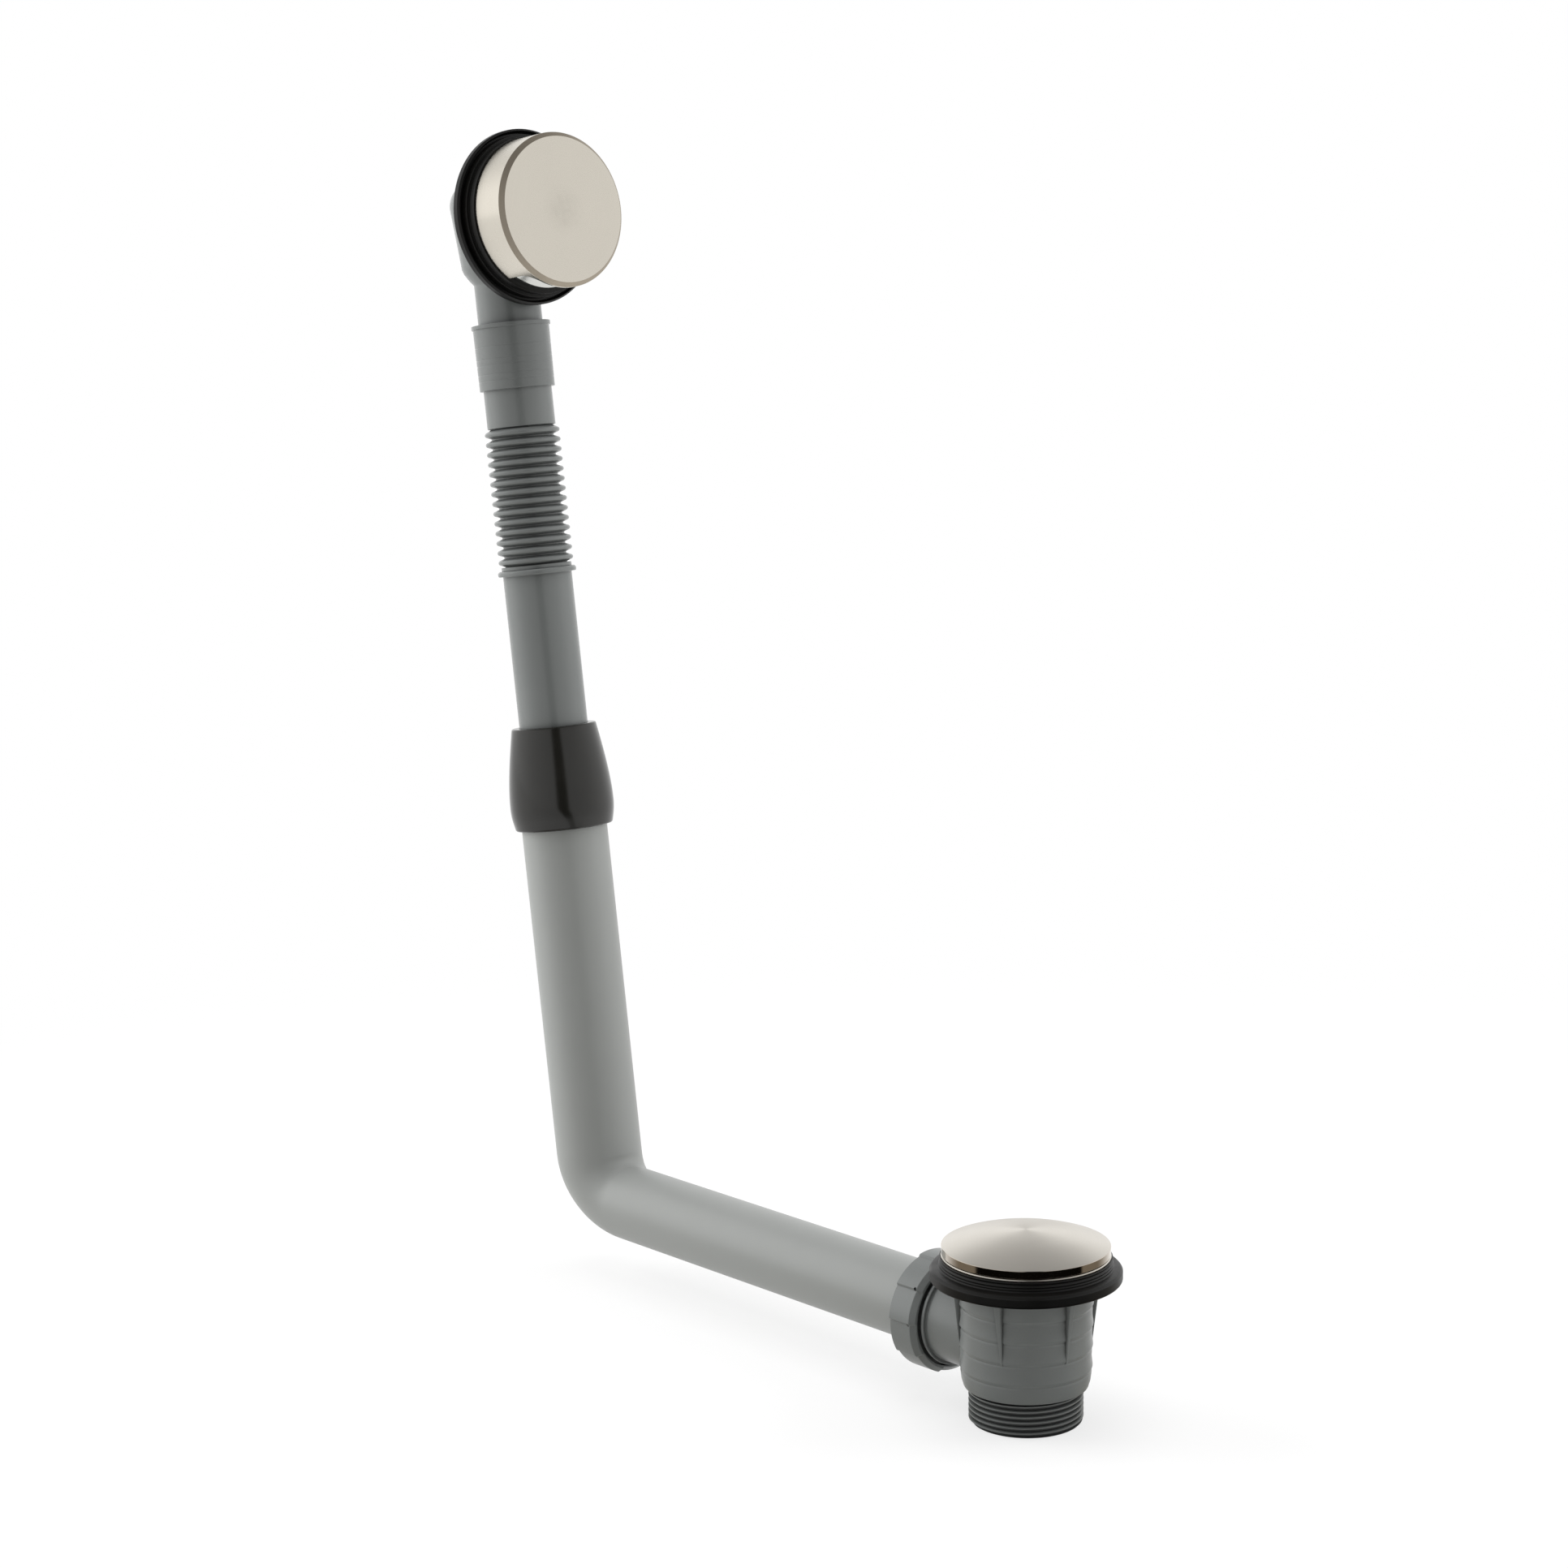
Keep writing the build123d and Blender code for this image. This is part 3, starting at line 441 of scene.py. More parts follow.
# Plug dome: a shallow turned dome, brushed on top, over a bright skirt
domeSize = {
    "rise": 6.5, "skirtWall": 1.8, "screwHole": 3.0, "screwDepth": 4.0, "rings": 30, "edge": 0.18,
    "brushedSlope": 0.5,
}
low, high, radius = spanOf("plug_dome", waste)
size = domeSize
shoulder = high - size["rise"]
sweep = (radius ** 2 + size["rise"] ** 2) / (2 * size["rise"])
dome = turnPiece("plugDome", waste, [
    (size["screwHole"], shoulder + size["screwDepth"]), (size["screwHole"], shoulder),
    (radius - size["skirtWall"], shoulder), (radius - size["skirtWall"], low), (radius, low),
    *arcOf(high - sweep, sweep, degrees(asin(radius / sweep)), 0, size["rings"]),
], ends="solid", edge=size["edge"], sides=160)
dressPiece(dome, brightNickel, ["plug_dome"], "plug")
paintFaces(
    dome, domeNickel, lambda centre, normal: centre.z > shoulder and normal.z > domeSize["brushedSlope"]
)
print("plug dome made")

# Rubber under the flange: a washer with a groove round it, and the stepped gasket with the hanging lip
washerSize = {"bore": 27.3, "groove": 0.5, "edge": 0.35}
low, high, radius = spanOf("flange_seal", waste)
middle = (low + high) / 2
size = washerSize
washer = turnPiece("flangeSeal", waste, [
    (size["bore"], low), (radius, low), (radius, middle - size["groove"]), (radius - size["groove"], middle),
    (radius, middle + size["groove"]), (radius, high), (size["bore"], high),
], edge=size["edge"])
dressPiece(washer, gasketRubber, ["flange_seal"], "waste")

gasketSize = {
    "bore": 27.3, "lift": 2.6, "ring": 36.2, "ringRound": 0.5, "ringDrop": 0.7, "ridge": 0.35,
    "ridgeDrop": 1.1, "lipTop": -4.35, "cove": 1.2, "coveRise": 0.1, "lipWall": 3.1, "slope": 0.9,
    "slopeDrop": 1.44, "footRound": 0.5, "footRise": 0.6, "edge": 0.4,
}
low, high, radius = spanOf("body_gasket", waste)
size = gasketSize
lipBore = radius - size["lipWall"]
gasket = turnPiece("bodyGasket", waste, [
    (size["bore"], high - size["lift"]), (size["bore"], high), (size["ring"] - size["ringRound"], high),
    (size["ring"], high - size["ringDrop"]), (size["ring"] - size["ridge"], high - size["ridgeDrop"]),
    (size["ring"], size["lipTop"] + size["coveRise"]), (size["ring"] + size["cove"], size["lipTop"]),
    (radius - size["slope"], size["lipTop"] - size["slope"] / 2),
    (radius, size["lipTop"] - size["slopeDrop"]), (radius, low + size["footRise"]),
    (radius - size["footRound"], low), (lipBore, low), (lipBore, high - size["lift"]),
], edge=size["edge"])
dressPiece(gasket, gasketRubber, ["body_gasket"], "waste")
print("waste gaskets made")

# Waste body: beaded cup with six fins, side branch, and an outlet with a real pipe thread
bodySize = {
    "flange": 36.5, "flangeThick": 2.5, "top": 27.5, "foot": 26.8, "chamfer": 3.0, "shoulder": 25.9,
    "shoulderLevel": -55.4, "beads": 4, "firstBead": 15.3, "lastBead": 42.6, "beadHeight": 0.75,
    "beadShape": ((0.4, 5.0), (0.9, 1.6), (1, 0.8), (0.25, -0.1), (0, -0.5), (0.4, -1.6)),  # swells, steps in
    "fins": 6, "finTurn": -8, "finInset": 1.5, "finReach": 31.2, "finDrop": 31.5, "finLift": 1.0,
    "finThick": 3.4, "finTip": 1.0, "finSide": 1.0, "finEdge": 0.6,
    "branch": 20.0, "ring": 21.5, "ringAt": -39.0, "ringWide": 1.5, "thread": 22.4, "threadFoot": -43.0,
    "reach": -51.4, "pipeBore": 15.4, "socket": 17.5, "stop": -38.0, "mouthDeep": 3.4, "mouthOpen": 2.2,
    "mouthEnd": 2.8, "tailBore": 22.7, "tailEnd": -15.0, "chamber": 23.8, "chamberTop": -16.3,
    "chamberFoot": 3.0, "outletBore": 20.0, "edge": 0.3,
}
threadSize = {
    "crest": 23.9, "root": 22.4, "pitch": 2.309, "turns": 9, "relief": 1.2, "leadIn": 1.2, "tip": 0.4,
    "play": 0.1, "turnSteps": 128,
    "section": ((-0.4, -0.95), (1.2, -0.45), (1.5, -0.26), (1.5, 0.26), (1.2, 0.45), (-0.4, 0.95)),  # out, up
}
low, high, radius = spanOf("waste_body", waste)
size = bodySize
root = threadSize["root"]
cupTop, cupFoot = high - size["flangeThick"], size["shoulderLevel"] + size["chamfer"]
taper = (size["top"] - size["foot"]) / (cupTop - cupFoot)
beadRings = []
for bead in range(size["beads"]):
    level = high - size["firstBead"] - bead * (size["lastBead"] - size["firstBead"]) / (size["beads"] - 1)
    wall = size["top"] - taper * (cupTop - level)
    beadRings += [(wall + out * size["beadHeight"], level + up) for out, up in size["beadShape"]]
body = turnPiece("wasteBody", waste, [
    (size["flange"], high), (size["flange"], cupTop), (size["top"], cupTop), *beadRings,
    (size["foot"], cupFoot), (size["shoulder"], size["shoulderLevel"]), (root, size["shoulderLevel"]),
    (root, low),
], ends="solid", edge=size["edge"])
print("waste cup turned")

# The thread is one section wound up a helix, then trimmed to the outlet's chamfered end
thread = addPiece(
    bpy.ops.mesh.primitive_circle_add, "thread", vertices=len(threadSize["section"]), radius=mm
)
for vertex, (out, up) in zip(thread.data.vertices, threadSize["section"]):
    vertex.co = ((root + out) * mm, 0, (low - threadSize["pitch"] + up) * mm)
windUp(thread, 2 * pi, threadSize["pitch"], threadSize["turns"], threadSize["turnSteps"])
threadOut = threadSize["crest"] + threadSize["play"]
chamferEnd = turnPiece("chamferEnd", waste, [
    (root + threadSize["tip"], low), (threadOut, low + threadSize["leadIn"]),
    (threadOut, size["shoulderLevel"] - threadSize["relief"]),
], ends="solid")
combine(thread, "INTERSECT", [chamferEnd])
print("outlet thread wound")

fins = []
inner = size["chamber"] + size["finInset"]
middle = (inner + size["finReach"]) / 2
for fin in range(size["fins"]):
    web = addPiece(bpy.ops.mesh.primitive_cube_add, "fin", size=mm)
    web.scale = (size["finReach"] - inner, size["finThick"], size["finDrop"] + size["finLift"])
    web.location = (middle * mm, 0, (cupTop + size["finLift"] / 2 - size["finDrop"] / 2) * mm)
    settlePlace(web)
    side = 1 if fin % 2 else -1
    for vertex in web.data.vertices:  # one side stands upright, and the lower outer edge runs out on the cup
        lower = vertex.co.z < (cupTop - size["finDrop"] / 2) * mm
        thick = size["finTip"] if lower else size["finThick"]
        upright = vertex.co.y * side > 0
        vertex.co.y = side * (size["finSide"] if upright else size["finSide"] - thick) * mm
        if lower and vertex.co.x > middle * mm:
            vertex.co.x = (size["top"] - taper * size["finDrop"] + size["beadHeight"]) * mm
    roundEdges(web, size["finEdge"], 2)
    web.rotation_euler = (0, 0, radians(size["finTurn"] + 360 * fin / size["fins"]))
    settlePlace(web)
    fins.append(web)
ringEnd = size["ringAt"] - size["ringWide"]
branchTube = turnPiece("branchTube", branch, [
    (size["branch"], -size["chamber"] / 2), (size["branch"], size["ringAt"]), (size["ring"], size["ringAt"]),
    (size["ring"], ringEnd), (size["branch"], ringEnd), (size["branch"], size["threadFoot"]),
    (size["thread"], size["threadFoot"]), (size["thread"], size["reach"]),
], ends="solid", edge=size["edge"])
combine(body, "UNION", [thread, *fins, branchTube])
chamber = turnPiece("chamber", waste, [
    (size["tailBore"], high + past), (size["tailBore"], size["tailEnd"]),
    (size["chamber"], size["chamberTop"]), (size["chamber"], cupFoot + size["chamberFoot"]),
    (size["outletBore"], cupFoot), (size["outletBore"], low - past),
], ends="solid")
pipeWay = turnPiece("pipeWay", branch, [
    (size["pipeBore"], 0), (size["pipeBore"], size["stop"]), (size["socket"], size["stop"]),
    (size["socket"], size["reach"] + size["mouthDeep"]), (size["socket"] + size["mouthOpen"], size["reach"]),
    (size["socket"] + size["mouthEnd"], size["reach"] - past),
], ends="solid")
combine(body, "DIFFERENCE", [chamber, pipeWay])
dressPiece(body, bodyGrey, ["waste_body"], "waste")
print("waste body made")

# Union nut: ratchet grips round the outside, a chamfered front, bored for the thread and the pipe
nutSize = {
    "grips": 10, "step": 0.9, "backEdge": 0.7, "frontEdge": 2.2, "frontSink": 2.0, "pipeBore": 17.5,
    "threadBore": 22.45, "backWall": 2.2, "dimple": 0.8, "edge": 0.2,
}
low, high, nutRadius = spanOf("union_nut", branch)
size = nutSize


def ratchet(angle):
    share = ((angle - pi / 2) * nutSize["grips"] / (2 * pi)) % 1
    return 1 - (1 - share) * nutSize["step"] / nutRadius


nut = turnPiece("unionNut", branch, [
    (nutRadius - size["backEdge"], low), (nutRadius, low + size["backEdge"]),
    (nutRadius, high - size["frontEdge"]), (nutRadius - size["frontSink"], high),
], ends="solid", edge=size["edge"], sides=200, shape=ratchet)
nutBore = turnPiece("nutBore", branch, [
    (size["pipeBore"], low - past), (size["pipeBore"], low + size["backWall"]),
    (size["threadBore"], low + size["backWall"]), (size["threadBore"], high + past),
], ends="solid")
dimples = []
for grip in range(size["grips"]):
    turn = pi / 2 + 2 * pi * grip / size["grips"]
    out = (nutRadius - size["step"] / 2) * mm
    place = ((high - size["frontEdge"] - size["dimple"]) * mm, out * sin(turn), pipeLevel - out * cos(turn))
    dimple = addPiece(
        bpy.ops.mesh.primitive_uv_sphere_add, "dimple", segments=16, ring_count=8,
        radius=size["dimple"] * mm, location=place,
    )
    settlePlace(dimple)
    dimples.append(dimple)
combine(nut, "DIFFERENCE", [nutBore, *dimples])
dressPiece(nut, bodyGrey, ["union_nut"], "waste")
print("union nut made")

# Bend pipe: one drawn pipe, its horizontal leg opened out through the bend to the wider riser
pipeSize = {"leg": 17.3, "riser": 20.1, "wall": 1.9, "bend": 24.0, "bendSteps": 24, "edge": 0.3}
legStart = spanOf("bend_pipe", branch)[1]
riserTop = spanOf("bend_pipe", riser)[1]
size = pipeSize
bendAngle = pi / 2 - lean
bendReach = size["bend"] * tan(bendAngle / 2)
bendStart = pipeCorner + Vector((bendReach * mm, 0, 0))
bendCentre = bendStart + Vector((0, 0, size["bend"] * mm))
pipe = addPiece(
    bpy.ops.mesh.primitive_circle_add, "bendPipe", vertices=128, radius=size["leg"] * mm,
    location=(legStart * mm, 0, pipeLevel), rotation=(0, pi / 2, 0),
)
settlePlace(pipe)
bpy.ops.object.mode_set(mode="EDIT")
bpy.ops.mesh.select_all(action="SELECT")
bpy.ops.mesh.extrude_edges_move(TRANSFORM_OT_translate={"value": (bendStart.x - legStart * mm, 0, 0)})
outer = size["leg"]
for step in range(1, size["bendSteps"] + 1):
    share = step / size["bendSteps"]
    swung = bendAngle * share
    nextOuter = size["leg"] + (size["riser"] - size["leg"]) * share * share * (3 - 2 * share)
    ringCentre = bendCentre + Vector((-sin(swung), 0, -cos(swung))) * size["bend"] * mm
    bpy.ops.mesh.extrude_edges_move(TRANSFORM_OT_translate={"value": (0, 0, 0)})
    bpy.ops.transform.rotate(
        value=-bendAngle / size["bendSteps"], orient_axis="Y", center_override=bendCentre
    )
    bpy.ops.transform.resize(value=(nextOuter / outer,) * 3, center_override=ringCentre)
    outer = nextOuter
riserRun = riserUp * (riserTop - bendReach) * mm
bpy.ops.mesh.extrude_edges_move(TRANSFORM_OT_translate={"value": riserRun})
bpy.ops.mesh.select_all(action="SELECT")
bpy.ops.mesh.normals_make_consistent(inside=False)
bpy.ops.object.mode_set(mode="OBJECT")
applyModifier(pipe, "SOLIDIFY", thickness=size["wall"] * mm, offset=-1)
roundEdges(pipe, size["edge"])
dressPiece(pipe, pipeGrey, ["bend_pipe"], "waste")
print("bend pipe made")

# Rubber sleeve: a swollen skirt that draws in to the tube, with a rounded rim
sleeveSize = {
    "foot": 22.8, "footLean": (0.9, 4.0), "swell": 24.4, "swellAt": 11.0, "swellBelow": 4.5,
    "swellAbove": 12.0, "top": 19.8, "topLean": (1.6, 9.0), "tubeBore": 16.3, "pipeBore": 20.15,
    "grip": 28.0, "steps": 14, "edge": 0.7,
}
low, high, radius = spanOf("rubber_sleeve", riser)
size = sleeveSize
swell, swellAt = size["swell"], low + size["swellAt"]
gripTop = low + size["grip"]
lowerCurve = interpolate_bezier(
    (size["foot"], low), (size["foot"] + size["footLean"][0], low + size["footLean"][1]),
    (swell, swellAt - size["swellBelow"]), (swell, swellAt), size["steps"],
)
upperCurve = interpolate_bezier(
    (swell, swellAt), (swell, swellAt + size["swellAbove"]),
    (size["top"] + size["topLean"][0], high - size["topLean"][1]), (size["top"], high), size["steps"],
)
sleeve = turnPiece("rubberSleeve", riser, [
    (size["pipeBore"], low), *[tuple(point) for point in [*lowerCurve, *upperCurve[1:]]],
    (size["tubeBore"], high), (size["tubeBore"], gripTop), (size["pipeBore"], gripTop),
], edge=size["edge"])
dressPiece(sleeve, sleeveRubber, ["rubber_sleeve"], "waste")
print("rubber sleeve made")

# Telescopic tube: plain drawn tube with a rounded stop collar and the hose's spigot
tubeSize = {
    "tube": 16.1, "bore": 14.2, "collar": 2.5, "footRound": (0.3, 0.4), "topRound": (0.7, 0.8),
    "spigot": 13.35, "spigotBore": 12.1, "spigotLength": 8.0, "edge": 0.35,
}
low, high, radius = spanOf("telescopic_tube", riser)
size = tubeSize
collarTop = high - size["spigotLength"]
collarFoot = collarTop - size["collar"]
tube = turnPiece("telescopicTube", riser, [
    (size["bore"], low), (size["tube"], low), (size["tube"], collarFoot),
    (radius - size["footRound"][0], collarFoot), (radius, collarFoot + size["footRound"][1]),
    (radius, collarTop - size["topRound"][1]), (radius - size["topRound"][0], collarTop),
    (size["spigot"], collarTop), (size["spigot"], high), (size["spigotBore"], high),
    (size["spigotBore"], collarFoot), (size["bore"], collarFoot - size["collar"]),
], edge=size["edge"])
dressPiece(tube, hoseGrey, ["telescopic_tube"], "upper_pipe")
print("telescopic tube made")

# Flexible hose: cuff, fourteen ribs, plain neck, and the ringed socket with its lip
hoseSize = {
    "bore": 13.4, "cuff": 16.4, "cuffLength": 1.8, "ribs": 14, "pitch": 4.585, "root": 14.5, "crest": 17.5,
    "crestRound": 1.15, "rootRound": 0.5, "flank": 66, "roundSteps": 3, "neck": 15.9, "neckRise": 0.3,
    "neckLength": 18.0, "socket": 17.5, "socketMouth": 17.8, "lip": 1.8, "socketBore": 15.2, "floor": 3.0,
    "sealAt": 10.0, "sealHigh": 2.6, "sealDeep": 1.2, "lines": (0.34, 0.53, 0.62, 0.76, 0.86),
    "lineDeep": 0.14, "lineWide": 0.7, "edge": 0.42,
}
low, high, radius = spanOf("flex_hose", riser)
size = hoseSize
bellowsFoot = low + size["cuffLength"]
bellowsTop = bellowsFoot + size["ribs"] * size["pitch"]
socketFoot = bellowsTop + size["neckLength"]
socketFloor = socketFoot + size["floor"]
socketTop = high - size["lip"]
steps = size["roundSteps"]
ribRings = []
for rib in range(size["ribs"]):
    station = bellowsFoot + rib * size["pitch"]
    for share in range(-steps if rib else 1, steps + 1):  # the first root starts at the cuff
        turn = radians(size["flank"] * share / steps)
        rootOut = size["root"] + size["rootRound"] * (1 - cos(turn))
        ribRings.append((rootOut, station + size["rootRound"] * sin(turn)))
    for share in range(-steps, steps + 1):
        turn = radians(size["flank"] * share / steps)
        crestOut = size["crest"] - size["crestRound"] * (1 - cos(turn))
        ribRings.append((crestOut, station + size["pitch"] / 2 + size["crestRound"] * sin(turn)))
boreRings = [(size["bore"], bellowsFoot + rib * size["pitch"]) for rib in range(size["ribs"], -1, -1)]
lineRings = []
flare = (size["socketMouth"] - size["socket"]) / (socketTop - socketFoot)
for share in reversed(size["lines"]):  # faint rings round the socket
    station = high - share * (high - socketFoot)
    wall = size["socket"] + flare * (station - socketFoot)
    half = size["lineWide"] / 2
    lineRings += [(wall, station - half), (wall - size["lineDeep"], station), (wall, station + half)]
sealFoot = high - size["sealAt"]
sealTop = sealFoot + size["sealHigh"]
sealOut = size["socketBore"] + size["sealDeep"]
hose = turnPiece("flexHose", riser, [
    (size["bore"], low), (size["cuff"], low), (size["cuff"], bellowsFoot), (size["root"], bellowsFoot),
    *ribRings, (size["root"], bellowsTop), (size["neck"], bellowsTop + size["neckRise"]),
    (size["neck"], socketFoot), (size["socket"], socketFoot), *lineRings, (size["socketMouth"], socketTop),
    (radius, socketTop), (radius, high), (size["socketBore"], high), (size["socketBore"], sealTop),
    (sealOut, sealTop), (sealOut, sealFoot), (size["socketBore"], sealFoot),
    (size["socketBore"], socketFloor), (size["bore"], socketFloor), *boreRings,
], edge=size["edge"])
dressPiece(hose, hoseGrey, ["flex_hose"])
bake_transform(hose)
print("flexible hose made")

# Overflow elbow: spigot, tapered hood with a rounded top, a throat and the flange behind the gasket
elbowSize = {
    "spigot": 15.0, "spigotBore": 12.8, "foot": ((15.0, 27.6), (16.8, 25.4), (18.9, 22.2), (19.75, 20.0)),
    "hood": 22.3, "hoodRound": 12.0, "hoodRise": 8.4, "wall": 2.8, "throat": 22.3, "throatBack": 3.0,
    "throatRound": 2.5, "throatSink": 1.0, "throatEdge": 0.8, "flange": 34.0, "flangeThick": 3.0,
    "boss": 5.8, "bossBack": -19.3, "bossFront": 13.0, "bossEdge": 0.3, "insert": 4.05, "insertLength": 12.0,
    "backBlock": 100.0, "edge": 0.45,
}
spigotFoot = spanOf("overflow_elbow", riser)[0]
flangeFront = spanOf("overflow_elbow", head)[1]
size = elbowSize
headStation = (headCentre - pipeCorner).length / mm
hoodTop = headStation + size["hoodRise"]


def hoodArc(inset):
    # the shoulder between the tapered side and the flat top
    centre = elbowSize["hood"] - elbowSize["hoodRound"]
    return [(centre + out, up) for out, up in arcOf(hoodTop, elbowSize["hoodRound"] - inset, 90, 0, 10)]


hoodFoot = [(out, headStation - down) for out, down in size["foot"]]
elbow = turnPiece("overflowElbow", riser, [
    (size["spigot"], spigotFoot), *hoodFoot, *between(hoodFoot[-1], hoodArc(0)[0]), *hoodArc(0),
], ends="solid", edge=size["edge"])
throatStart = (size["throat"], size["throatRound"] - size["throatBack"])
throatEnd = (size["throat"], flangeFront - size["throatSink"])
throat = turnPiece("throat", head, [
    (size["throat"] - size["throatRound"], -size["throatBack"]), throatStart,
    *between(throatStart, throatEnd), throatEnd,
], ends="solid", edge=size["throatEdge"])
flangeDisc = turnPiece("flangeDisc", head, [
    (size["flange"], flangeFront - size["flangeThick"]), (size["flange"], flangeFront),
], ends="solid", edge=size["edge"])
combine(elbow, "UNION", [throat, flangeDisc])
waterWay = turnPiece("waterWay", riser, [
    (size["spigotBore"], spigotFoot - past), (size["spigotBore"], hoodFoot[2][1]), *hoodArc(size["wall"]),
], ends="solid")
throatBore = size["throat"] - size["wall"]
mouth = turnPiece("mouth", head, [(throatBore, 0), (throatBore, flangeFront + past)], ends="solid")
frontTrim = turnPiece("frontTrim", head, [
    (size["flange"] + past, flangeFront), (size["flange"] + past, flangeFront + size["throat"]),
], ends="solid")
backBlock = size["backBlock"] * mm  # trims the hood's back to the CAD model's box
backTrim = addPiece(
    bpy.ops.mesh.primitive_cube_add, "backTrim", size=backBlock,
    location=(cadBox[0].x - backBlock / 2, 0, headCentre.z),
)
combine(elbow, "DIFFERENCE", [waterWay, mouth, frontTrim, backTrim])
screwBoss = turnPiece("screwBoss", head, [
    (size["boss"], size["bossBack"]), (size["boss"], size["bossFront"]),
], ends="solid", edge=size["bossEdge"], sides=64)
insertHole = turnPiece("insertHole", head, [
    (size["insert"], size["bossFront"] - size["insertLength"]), (size["insert"], size["bossFront"] + past),
], ends="solid", sides=64)
combine(elbow, "UNION", [screwBoss])
combine(elbow, "DIFFERENCE", [insertHole])
dressPiece(elbow, hoseGrey, ["overflow_elbow"], "overflow_head")
print("overflow elbow made")

# Overflow gasket: broad lip, a step, and the ridge that meets the bath wall
headGasketSize = {
    "bore": 21.0, "lip": 4.3, "slope": 0.8, "lipEdge": 1.04, "hollow": 2.2, "hollowWide": 1.0,
    "step": 37.2, "stepDeep": 2.3, "ridge": 35.9, "edge": 0.3,
}
low, high, radius = spanOf("overflow_gasket", head)
size = headGasketSize
slope, lipFront = size["slope"], low + size["lip"]
hollowFloor, stepFront = lipFront - size["hollow"], lipFront + size["stepDeep"]
headGasket = turnPiece("overflowGasket", head, [
    (size["bore"], low), (radius - slope, low), (radius, low + slope), (radius, lipFront - slope),
    (radius - slope, lipFront), (radius - size["lipEdge"], lipFront),
    (size["step"] + size["hollowWide"], hollowFloor), (size["step"], hollowFloor), (size["step"], stepFront),
    (size["ridge"], stepFront), (size["ridge"], high), (size["bore"], high),
], edge=size["edge"])
dressPiece(headGasket, gasketRubber, ["overflow_gasket"], "overflow_head")
print("overflow gasket made")

# Overflow grid: a bright plate with round holes, and a rim with a lead-in that the cap is pushed on to
gridSize = {
    "screwHole": 3.0, "plate": 2.5, "leadIn": 2.2, "leadFrom": 3.0, "rimWall": 1.2, "rimFoot": 0.8,
    "holes": 6, "hole": 6.5, "circle": 20.5, "edge": 0.2,
}
low, high, radius = spanOf("overflow_grid", head)
size = gridSize
plateFront = low + size["plate"]
rimTip = radius - size["leadIn"]
grid = turnPiece("overflowGrid", head, [
    (size["screwHole"], low), (radius, low), (radius, low + size["leadFrom"]), (rimTip, high),
    (rimTip - size["rimWall"], high), (radius - size["rimWall"] - size["rimFoot"], plateFront),
    (size["screwHole"], plateFront),
], edge=size["edge"])
holes = []
for hole in range(size["holes"]):
    turn = 2 * pi * hole / size["holes"]
    middle = headCentre + headFront * low * mm
    middle += (Vector((0, cos(turn), 0)) + riserUp * sin(turn)) * size["circle"] * mm
    bore = {"start": middle, "along": headFront, "turn": head["turn"]}
    outline = [(size["hole"], -past), (size["hole"], size["plate"] + past)]
    holes.append(turnPiece("gridHole", bore, outline, ends="solid", sides=48))
combine(grid, "DIFFERENCE", holes)
dressPiece(grid, stainless, ["overflow_grid"], "overflow_head")
print("overflow grid made")

# Overflow cap: a turned and brushed cup with a bevelled face and the notch at its foot
capSize = {
    "wall": 1.5, "front": 2.0, "bevel": 2.0, "faceRings": 10, "edge": 0.16, "notchWide": 41.0,
    "notchDeep": 16.0, "notchCorner": 6.0, "notchHigh": 15.0, "notchPast": 3.0, "bevelFacing": (0.4, 0.95),
}
low, high, radius = spanOf("overflow_cap", head)
size = capSize
bore = radius - size["wall"]
faceRadius = radius - size["bevel"]
cap = turnPiece("overflowCap", head, [
    (bore, high - size["front"]), (bore, low), (radius, low), (radius, high - size["bevel"]),
    *[(faceRadius * (1 - ring / size["faceRings"]), high) for ring in range(size["faceRings"] + 1)],
], ends="solid", edge=size["edge"], sides=160)
notch = addPiece(bpy.ops.mesh.primitive_plane_add, "notch", size=mm)
notch.scale = (2 * size["notchDeep"], size["notchWide"], 1)
settlePlace(notch)
applyModifier(notch, "BEVEL", affect="VERTICES", width=size["notchCorner"] * mm, segments=8)
applyModifier(notch, "SOLIDIFY", thickness=size["notchHigh"] * mm, offset=-1)
notchTop = radius + size["notchPast"] - size["notchHigh"]
notch.location = headCentre + headFront * low * mm - riserUp * notchTop * mm
notch.rotation_euler = (0, riser["turn"], 0)
settlePlace(notch)
combine(cap, "DIFFERENCE", [notch])
dressPiece(cap, capNickel, ["overflow_cap"], "overflow_head")
least, most = size["bevelFacing"]
# painted shade: faces turned part way to the front, the bevel, take the darker nickel
paintFaces(cap, paintedShadeBevelNickel, lambda centre, normal: least < normal.dot(headFront) < most)
print("overflow cap made")

# Plug spring: round wire, wound in half turns
springSize = {"wire": 1.0, "wireSides": 14, "radius": 4.5, "halfTurns": 9, "turnSteps": 20}
low, high = [corner.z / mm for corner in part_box("plug_spring")]
size = springSize
spring = addPiece(
    bpy.ops.mesh.primitive_circle_add, "plugSpring", vertices=size["wireSides"],
    radius=size["wire"] / 2 * mm,
    location=(size["radius"] * mm, 0, (low + size["wire"] / 2) * mm), rotation=(pi / 2, 0, 0),
)
settlePlace(spring)
springRise = (high - low - size["wire"]) / size["halfTurns"]
windUp(spring, pi, springRise, size["halfTurns"], size["turnSteps"])
dressPiece(spring, stainless, ["plug_spring"])
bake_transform(spring)
print("plug spring made")

